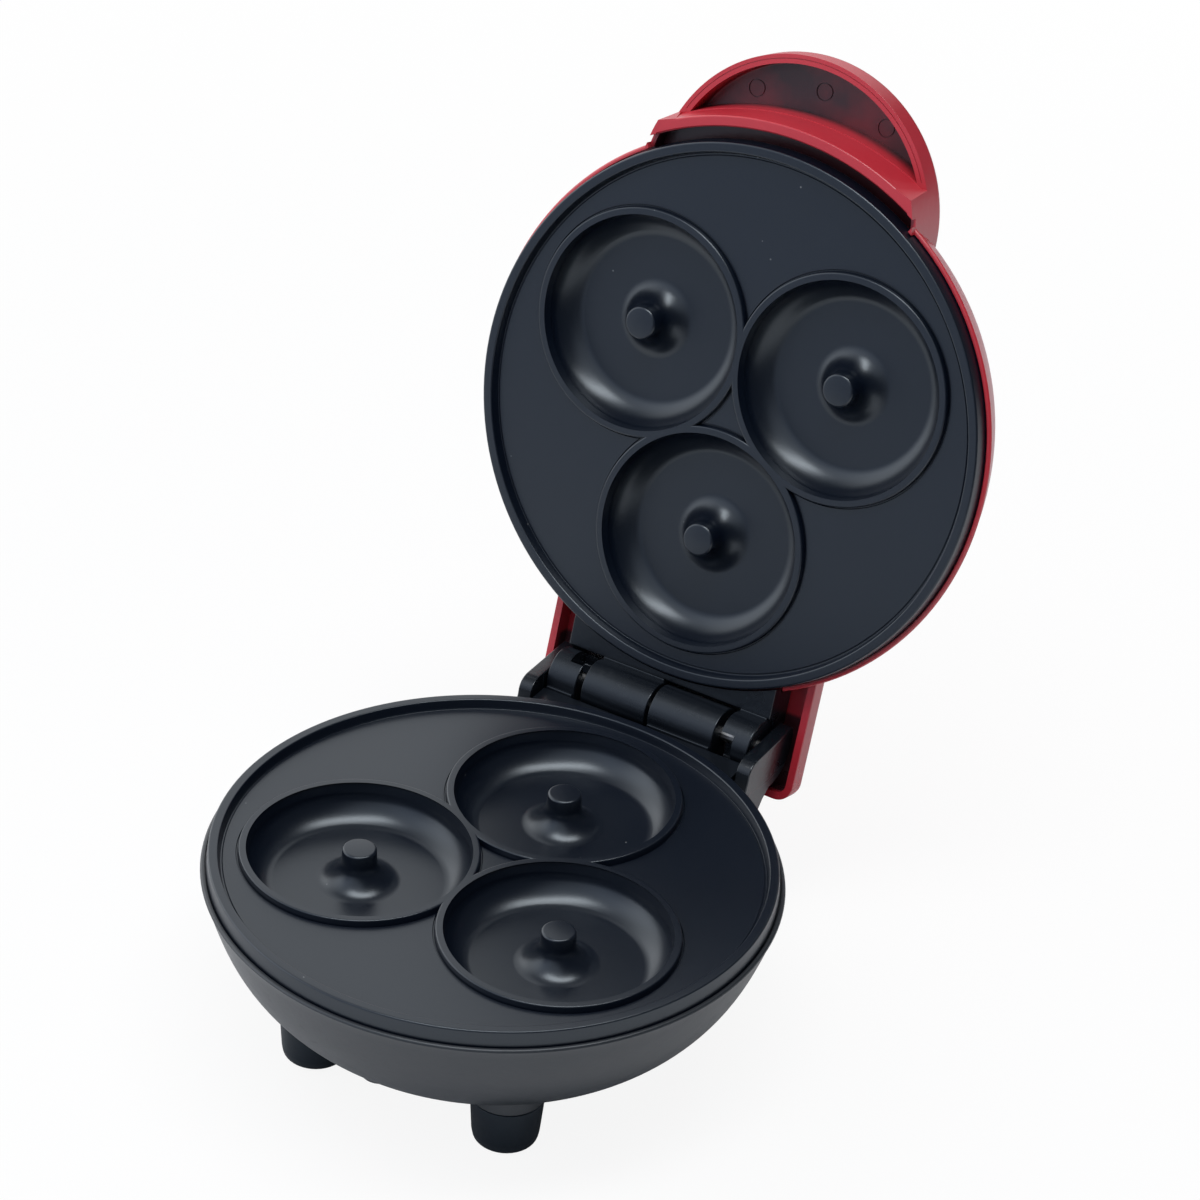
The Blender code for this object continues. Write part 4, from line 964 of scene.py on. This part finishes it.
# Corners of a gusset's face and back in (x, y), and the heights of the four in each.
GUSSET_FACE = ((0.0277, -0.0617), (0.0310, -0.0615), (0.0358, -0.0588), (0.0355, -0.0599))
GUSSET_BACK = ((0.0272, -0.0602), (0.0300, -0.0592), (0.0358, -0.0570), (0.0355, -0.0570))
GUSSET_HEIGHTS = (0.00009, -0.0089, 0.00009, -0.0089)


def tail_outline(side_x, end_y, corner_r, front):
    right = arc_points((side_x - corner_r, end_y - corner_r), corner_r, 0, math.pi / 2, 10)
    left = [(-x, y) for x, y in reversed(right)]
    return [(side_x, front)] + right + left + [(-side_x, front)]


def lid_channel():
    """The tail that covers the hinge, with its channel."""
    tail = prism("tail", tail_outline(TAIL_OUTER, TAIL_END, TAIL_CORNER_R, TAIL_FRONT), TAIL_TOP, TAIL_RIM)
    tail = round_edges(tail, lambda p: p.z < TAIL_TOP + NEAR, TAIL_ROUND, 6)
    tail = round_edges(tail, lambda p: p.z > TAIL_RIM - NEAR, 0.0003, 3)
    inside = tail_outline(TAIL_INNER, TAIL_END - TAIL_WALL, TAIL_CORNER_R - TAIL_WALL, 0)
    return cut(tail, prism("tail_space", inside, TAIL_TOP + TAIL_WALL, OVER))


def drum(name, extra=0.0):
    """The drafted drum behind the arc lip and the pocket's inner wall."""
    low = POCKET_FLOOR - OVER
    end = ARC_OUTER_R + extra
    draft = ARC_DRAFT * (ARC_TOP - low) / -POCKET_FLOOR
    corners = [(0, ARC_TOP, 0), (end, ARC_TOP, 0.0004), (end + draft, low, 0), (0, low, 0)]
    return turned(name, filleted(corners, 4), 2 * BOWL_STEPS)


def front_sector(half_degrees, low, high):
    reach = 2 * LIP_R
    half = math.radians(half_degrees)
    left = (-reach * math.sin(half), -reach * math.cos(half))
    return prism("sector", [(0, 0), left, (-left[0], left[1])], low, high)


def arc_recess():
    """The deep groove between the plate's rim and the arc lip, open to the inside under the plate."""
    inner = LIP_INNER_R - 0.0002
    inside = inner - 0.0050
    outer = ARC_INNER_R + 0.0005
    under = LEDGE_H + 0.0001
    floor = ARC_GROOVE_FLOOR
    corners = [(outer, OVER, 0), (outer, 0.0002, 0), (ARC_INNER_R, -0.0003, 0), (ARC_INNER_R, floor, 0.0004),
               (inside, floor, 0), (inside, under, 0), (inner, under, 0), (inner, OVER, 0)]
    deep = turned("arc_groove", filleted(corners, 3), BOWL_STEPS, closed=True)
    side = rod("groove_side", HANDLE_R - 0.0011, -2 * OVER, 2 * OVER, (0, HANDLE_Y), steps=HANDLE_STEPS)
    return common(deep, side)


def lip_break():
    """The lip is missing as far as the arc lip reaches."""
    gap = ring("lip_break", LIP_INNER_R - 0.0003, ARC_INNER_R + 0.0001, -LIP_BELOW - 0.0001, OVER)
    return common(gap, front_sector(ARC_HALF_ANGLE, -OVER, 2 * OVER))


def gusset(side, out):
    """The flat facet where an end of the arc lip meets the handle's rim."""
    face = [(side * x, y - out, z) for (x, y), z in zip(GUSSET_FACE, GUSSET_HEIGHTS)]
    back = [(side * x, y, z) for (x, y), z in zip(GUSSET_BACK, GUSSET_HEIGHTS)]
    return hull("gusset", face + back)


def handle_solid():
    """The D-shaped grip, with the arc lip that stands on its inner side."""
    grip = rod("grip", HANDLE_R, HANDLE_TOP, 2 * OVER, (0, HANDLE_Y), steps=HANDLE_STEPS)
    grip = round_edges(grip, lambda p: p.z < HANDLE_TOP + NEAR, HANDLE_ROUND, 6)
    keep = fuse(drum("arc_drum"), gusset(-1, 0), gusset(1, 0))
    space = cut(block("over_rim", (-0.04, -0.09, HANDLE_RIM), (0.04, 0, 3 * OVER)), keep)
    grip = cut(grip, space)

    def on_rim(p):
        outside = math.hypot(p.x, p.y - HANDLE_Y) > HANDLE_R - 20 * NEAR
        clear_of_arc = math.hypot(p.x, p.y) > ARC_OUTER_R + 0.0018
        return outside and clear_of_arc and abs(p.z - HANDLE_RIM) < 2 * NEAR

    return round_edges(grip, on_rim, 0.0004, 3)


def handle_pocket():
    high = HANDLE_RIM + OVER
    corners = [(0, high, 0), (POCKET_R, high, 0), (POCKET_R, POCKET_FLOOR, 0.0006), (0, POCKET_FLOOR, 0)]
    pocket = turned("pocket", filleted(corners, 4), POCKET_STEPS, (0, HANDLE_Y))
    return cut(pocket, drum("pocket_drum", POCKET_GAP), gusset(-1, POCKET_GAP), gusset(1, POCKET_GAP))


def shallow_ring(name, radii, floor, depth, steps, centre):
    """The cutter of a fine round groove in a floor."""
    inner, outer = radii
    low, high = floor - depth, floor + 0.001
    outline = [(outer, high), (outer, low), (inner, low), (inner, high)]
    return turned(name, outline, steps, centre, closed=True)


def handle_line():
    """The fine line around the handle's rim."""
    place = (0, HANDLE_Y)
    line = shallow_ring("handle_line", HANDLE_LINE_R, HANDLE_RIM, HANDLE_LINE_DEPTH, HANDLE_STEPS, place)
    return cut(line, drum("line_drum", 0.0010))


def lid_cover():
    body = fuse(bowl_outer(), lid_channel(), handle_solid())
    body = cut(body, handle_pocket(), bowl_inner(), arc_recess(), lip_break(), lip_notch(), handle_line())
    for place in PIN_MARKS:
        mark = shallow_ring("pin_mark", PIN_MARK_R, POCKET_FLOOR, PIN_MARK_DEPTH, SMALL_STEPS, place)
        body = cut(body, mark)
    return cut(body, rod("lens_hole", LENS_HOLE_R, BOWL_END - OVER, BOWL_END + OVER, (0, LENS_Y)))


# Feet, gland and lens.

FOOT_TOP = 0.0118
FOOT_SEAT_R = 0.0031
FOOT_SEAT_H = 0.0050
GLAND_R = 0.0044
GLAND_BORE_R = 0.0032
GLAND_FLANGE_R = 0.0056
# The gland's inner end, and the front and the back of its flange, in y.
GLAND_REACH = (0.0440, 0.0563, 0.0583)
LENS_R = 0.0030
LENS_PROUD = 0.0006
LENS_FLANGE_R = 0.0044
LENS_FLANGE_T = 0.0012


def foot(centre):
    corners = [
        (0, FOOT_TOP, 0),
        (0.0081, FOOT_TOP, 0.0003),
        (0.0074, 0.0026, 0.004),
        (0.0070, 0.0006, 0.002),
        (0.0052, 0, 0.002),
        (FOOT_SEAT_R, 0, 0.0002),
        (FOOT_SEAT_R, FOOT_SEAT_H, 0),
        (0, FOOT_SEAT_H, 0),
    ]
    body = turned("foot", filleted(corners, 6), SMALL_STEPS, centre)
    return cut(body, rod("foot_bore", SCREW_HOLE_R, -0.001, FOOT_TOP + OVER, centre))


def cord_gland():
    end, flange, back = GLAND_REACH
    corners = [(GLAND_BORE_R, back, 0), (GLAND_FLANGE_R, back, 0.0006), (GLAND_FLANGE_R, flange, 0.0003),
               (GLAND_R, flange, 0), (GLAND_R, end, 0.0003), (GLAND_BORE_R, end, 0)]
    return turned("gland", filleted(corners, 4), SMALL_STEPS, OUTLET, closed=True, axis="Y")


def indicator_lens():
    outside = BOWL_END - LENS_PROUD
    held = BOWL_END + WALL + GAP
    end = held + LENS_FLANGE_T
    corners = [(0, end, 0), (LENS_FLANGE_R, end, 0.0002), (LENS_FLANGE_R, held, 0), (LENS_R, held, 0),
               (LENS_R, outside + 0.0004, 0.0008), (0.0012, outside, 0.002), (0, outside, 0)]
    return turned("lens", filleted(corners, 6), SMALL_STEPS, (0, LENS_Y))


def build_pieces():
    publish(base_housing(), "base_bowl", TO_BASE, "base", BLACK, ["base_housing"])
    publish(lid_cover(), "lid_shell", TO_LID, "lid", RED, ["lid_cover"])
    plate = baking_plate()
    copy = tool_object("lid_plate_copy", plate.data.copy())
    publish(plate, "base_baking_plate", TO_BASE, "base", COATING, ["base_plate"],
            PLATE_SHARP)
    publish(copy, "lid_baking_plate", TO_LID, "lid", COATING, ["lid_plate"], PLATE_SHARP)
    (inner_low, inner_high), (outer_low, outer_high) = SPANS
    slot_low, slot_high = outer_low - 0.001, outer_low + SLOT_L
    spans = ((-outer_high, -outer_low), (inner_low, inner_high))
    hinge = hinge_block(AXIS_IN_BASE, spans, (-slot_high, -slot_low))
    publish(hinge, "base_hinge", TO_BASE, "base", HINGE_BLACK, ["base_hinge_block"])
    spans = ((-inner_high, -inner_low), (outer_low, outer_high))
    hinge = hinge_block(AXIS_IN_LID, spans, (slot_low, slot_high))
    publish(hinge, "lid_hinge", TO_LID, "lid", HINGE_BLACK, ["lid_hinge_block"])
    for node, centre in FOOT_PLACES.items():
        publish(foot(centre), node + "_round", TO_TABLE, "base", RUBBER, [node])
    publish(cord_gland(), "gland_bush", TO_BASE, "base", RUBBER, ["cord_gland"])
    publish(indicator_lens(), "indicator_window", TO_LID, "lid", AMBER, ["indicator_lens"])


def dress_nodes():
    """Gives each CAD node that stays visible its finished material."""
    finishes = {
        "steel": STEEL, "zinc_screw": ZINC, "element_sheath": SHEATH, "ceramic": CERAMIC,
        "lamp_glass": GLASS, "black_plastic": BLACK, "foot_rubber": RUBBER, "red_plastic": RED,
        "nonstick_plate": COATING, "lens_plastic": AMBER,
    }
    slots = {s["node"]: s["material_slot"] for s in frame["record"]["subparts"]}
    for name, node in frame["nodes"].items():
        if not node.hide_render:
            node.data.materials.clear()
            node.data.materials.append(finishes[slots[name]])


build_pieces()
dress_nodes()


# Camera, fitted to the photograph: its place, angles in degrees and lens in millimetres.

CAMERA_PLACE = (0.3800, -0.6529, 0.5933)
CAMERA_AZIMUTH = 28.775
CAMERA_ELEVATION = 32.452
CAMERA_ROLL = 4.15
CAMERA_LENS = 128.83
SENSOR_W = 36.0


def add_camera():
    azimuth, elevation, roll = (math.radians(a) for a in (CAMERA_AZIMUTH, CAMERA_ELEVATION, CAMERA_ROLL))
    back = Vector((
        math.sin(azimuth) * math.cos(elevation),
        -math.cos(azimuth) * math.cos(elevation),
        math.sin(elevation),
    ))
    level = Vector((math.cos(azimuth), math.sin(azimuth), 0))
    upright = back.cross(level)
    right = level * math.cos(roll) + upright * math.sin(roll)
    up = upright * math.cos(roll) - level * math.sin(roll)
    data = bpy.data.cameras.new("camera")
    data.lens = CAMERA_LENS
    data.sensor_width = SENSOR_W
    camera = bpy.data.objects.new("camera", data)
    bpy.context.scene.collection.objects.link(camera)
    turn = Matrix((right, up, back)).transposed().to_4x4()
    x, y, z = CAMERA_PLACE
    camera.matrix_world = Matrix.Translation((x, y + MIDDLE_Y, z)) @ turn
    bpy.context.scene.camera = camera


# Light.

# Parts of the studio: direction, dot products where a part starts and is full, strength, colour.
LOBES = (
    ((0.0, -0.60, 0.80), 0.70, 0.96, 0.62, (0.92, 0.98, 1.08)),
    ((-0.55, 0.70, 0.45), 0.70, 0.96, 1.00, (1.00, 1.00, 1.00)),
    ((-0.95, -0.15, 0.25), 0.60, 0.95, 1.45, (1.00, 1.00, 1.00)),
    ((-0.60, -0.75, 0.20), 0.60, 0.95, 0.36, (0.84, 0.95, 1.20)),
)
FILL = (0.065, 0.072, 0.084)
FLOOR_R = 1.0
FLOOR_DROP = 0.0002
# The share of plain white in what the camera sees of the floor, near the part and away from it.
FLOOR_DISTANCES = (0.18, 0.60)
FLOOR_SHARES = (0.90, 1.0)


def add_world():
    """A pale studio: bright on the left and behind on the left, dim on the right."""
    world = bpy.data.worlds.new("studio")
    bpy.context.scene.world = world
    world.use_nodes = True
    tree = world.node_tree
    nodes = tree.nodes
    background = nodes["Background"]
    output = nodes["World Output"]
    place = nodes.new("ShaderNodeTexCoord")
    total = nodes.new("ShaderNodeCombineXYZ")
    for socket, value in zip(total.inputs, FILL):
        socket.default_value = value
    for direction, low, high, strength, colour in LOBES:
        dot = nodes.new("ShaderNodeVectorMath")
        dot.operation = "DOT_PRODUCT"
        dot.inputs[1].default_value = Vector(direction).normalized()
        tree.links.new(place.outputs["Generated"], dot.inputs[0])
        ramp = nodes.new("ShaderNodeMapRange")
        ramp.interpolation_type = "SMOOTHSTEP"
        ramp.inputs["From Min"].default_value = low
        ramp.inputs["From Max"].default_value = high
        ramp.inputs["To Max"].default_value = strength
        tree.links.new(dot.outputs["Value"], ramp.inputs["Value"])
        part = nodes.new("ShaderNodeVectorMath")
        part.operation = "SCALE"
        part.inputs[0].default_value = colour
        tree.links.new(ramp.outputs["Result"], part.inputs["Scale"])
        add = nodes.new("ShaderNodeVectorMath")
        tree.links.new(total.outputs[0], add.inputs[0])
        tree.links.new(part.outputs[0], add.inputs[1])
        total = add
    tree.links.new(total.outputs[0], background.inputs["Color"])
    white = nodes.new("ShaderNodeBackground")
    white.inputs["Color"].default_value = (1, 1, 1, 1)
    white.inputs["Strength"].default_value = 1.0
    rays = nodes.new("ShaderNodeLightPath")
    mix = nodes.new("ShaderNodeMixShader")
    tree.links.new(rays.outputs["Is Camera Ray"], mix.inputs["Fac"])
    tree.links.new(background.outputs[0], mix.inputs[1])
    tree.links.new(white.outputs[0], mix.inputs[2])
    tree.links.new(mix.outputs[0], output.inputs["Surface"])


def add_floor():
    """A white floor that is plain white to the camera, apart from a faint shadow."""
    bm = bmesh.new()
    bmesh.ops.create_circle(bm, cap_ends=True, segments=96, radius=FLOOR_R)
    floor = from_bmesh("floor", bm)
    floor.location = (0, 0, -FLOOR_DROP)
    n = Nodes("floor_white")
    n.set(colour=(0.86, 0.86, 0.86), roughness=0.9)
    glow = n.add("ShaderNodeEmission")
    rays = n.add("ShaderNodeLightPath")
    away = n.add("ShaderNodeVectorMath", operation="LENGTH")
    n.link(n.place, away.inputs[0])
    plain = n.ramp(away.outputs["Value"], *FLOOR_DISTANCES, *FLOOR_SHARES)
    share = n.math("MULTIPLY", rays.outputs["Is Camera Ray"], plain)
    mix = n.add("ShaderNodeMixShader")
    output = n.tree.nodes["Material Output"]
    n.link(share, mix.inputs["Fac"])
    n.link(n.shader.outputs[0], mix.inputs[1])
    n.link(glow.outputs[0], mix.inputs[2])
    n.link(mix.outputs[0], output.inputs["Surface"])
    floor.data.materials.append(n.material)


def add_softbox(name, place, target, size, watts):
    data = bpy.data.lights.new(name, "AREA")
    data.shape = "RECTANGLE"
    data.size, data.size_y = size
    data.energy = watts
    lamp = bpy.data.objects.new(name, data)
    bpy.context.scene.collection.objects.link(lamp)
    lamp.location = place
    lamp.rotation_mode = "QUATERNION"
    lamp.rotation_quaternion = (Vector(target) - Vector(place)).to_track_quat("-Z", "Y")


add_camera()
add_world()
add_floor()
add_softbox("key", place=(0.15, -0.12, 1.12), target=(0, 0, 0.06), size=(1.0, 0.30), watts=7.2)
bpy.context.scene.view_settings.view_transform = "Standard"
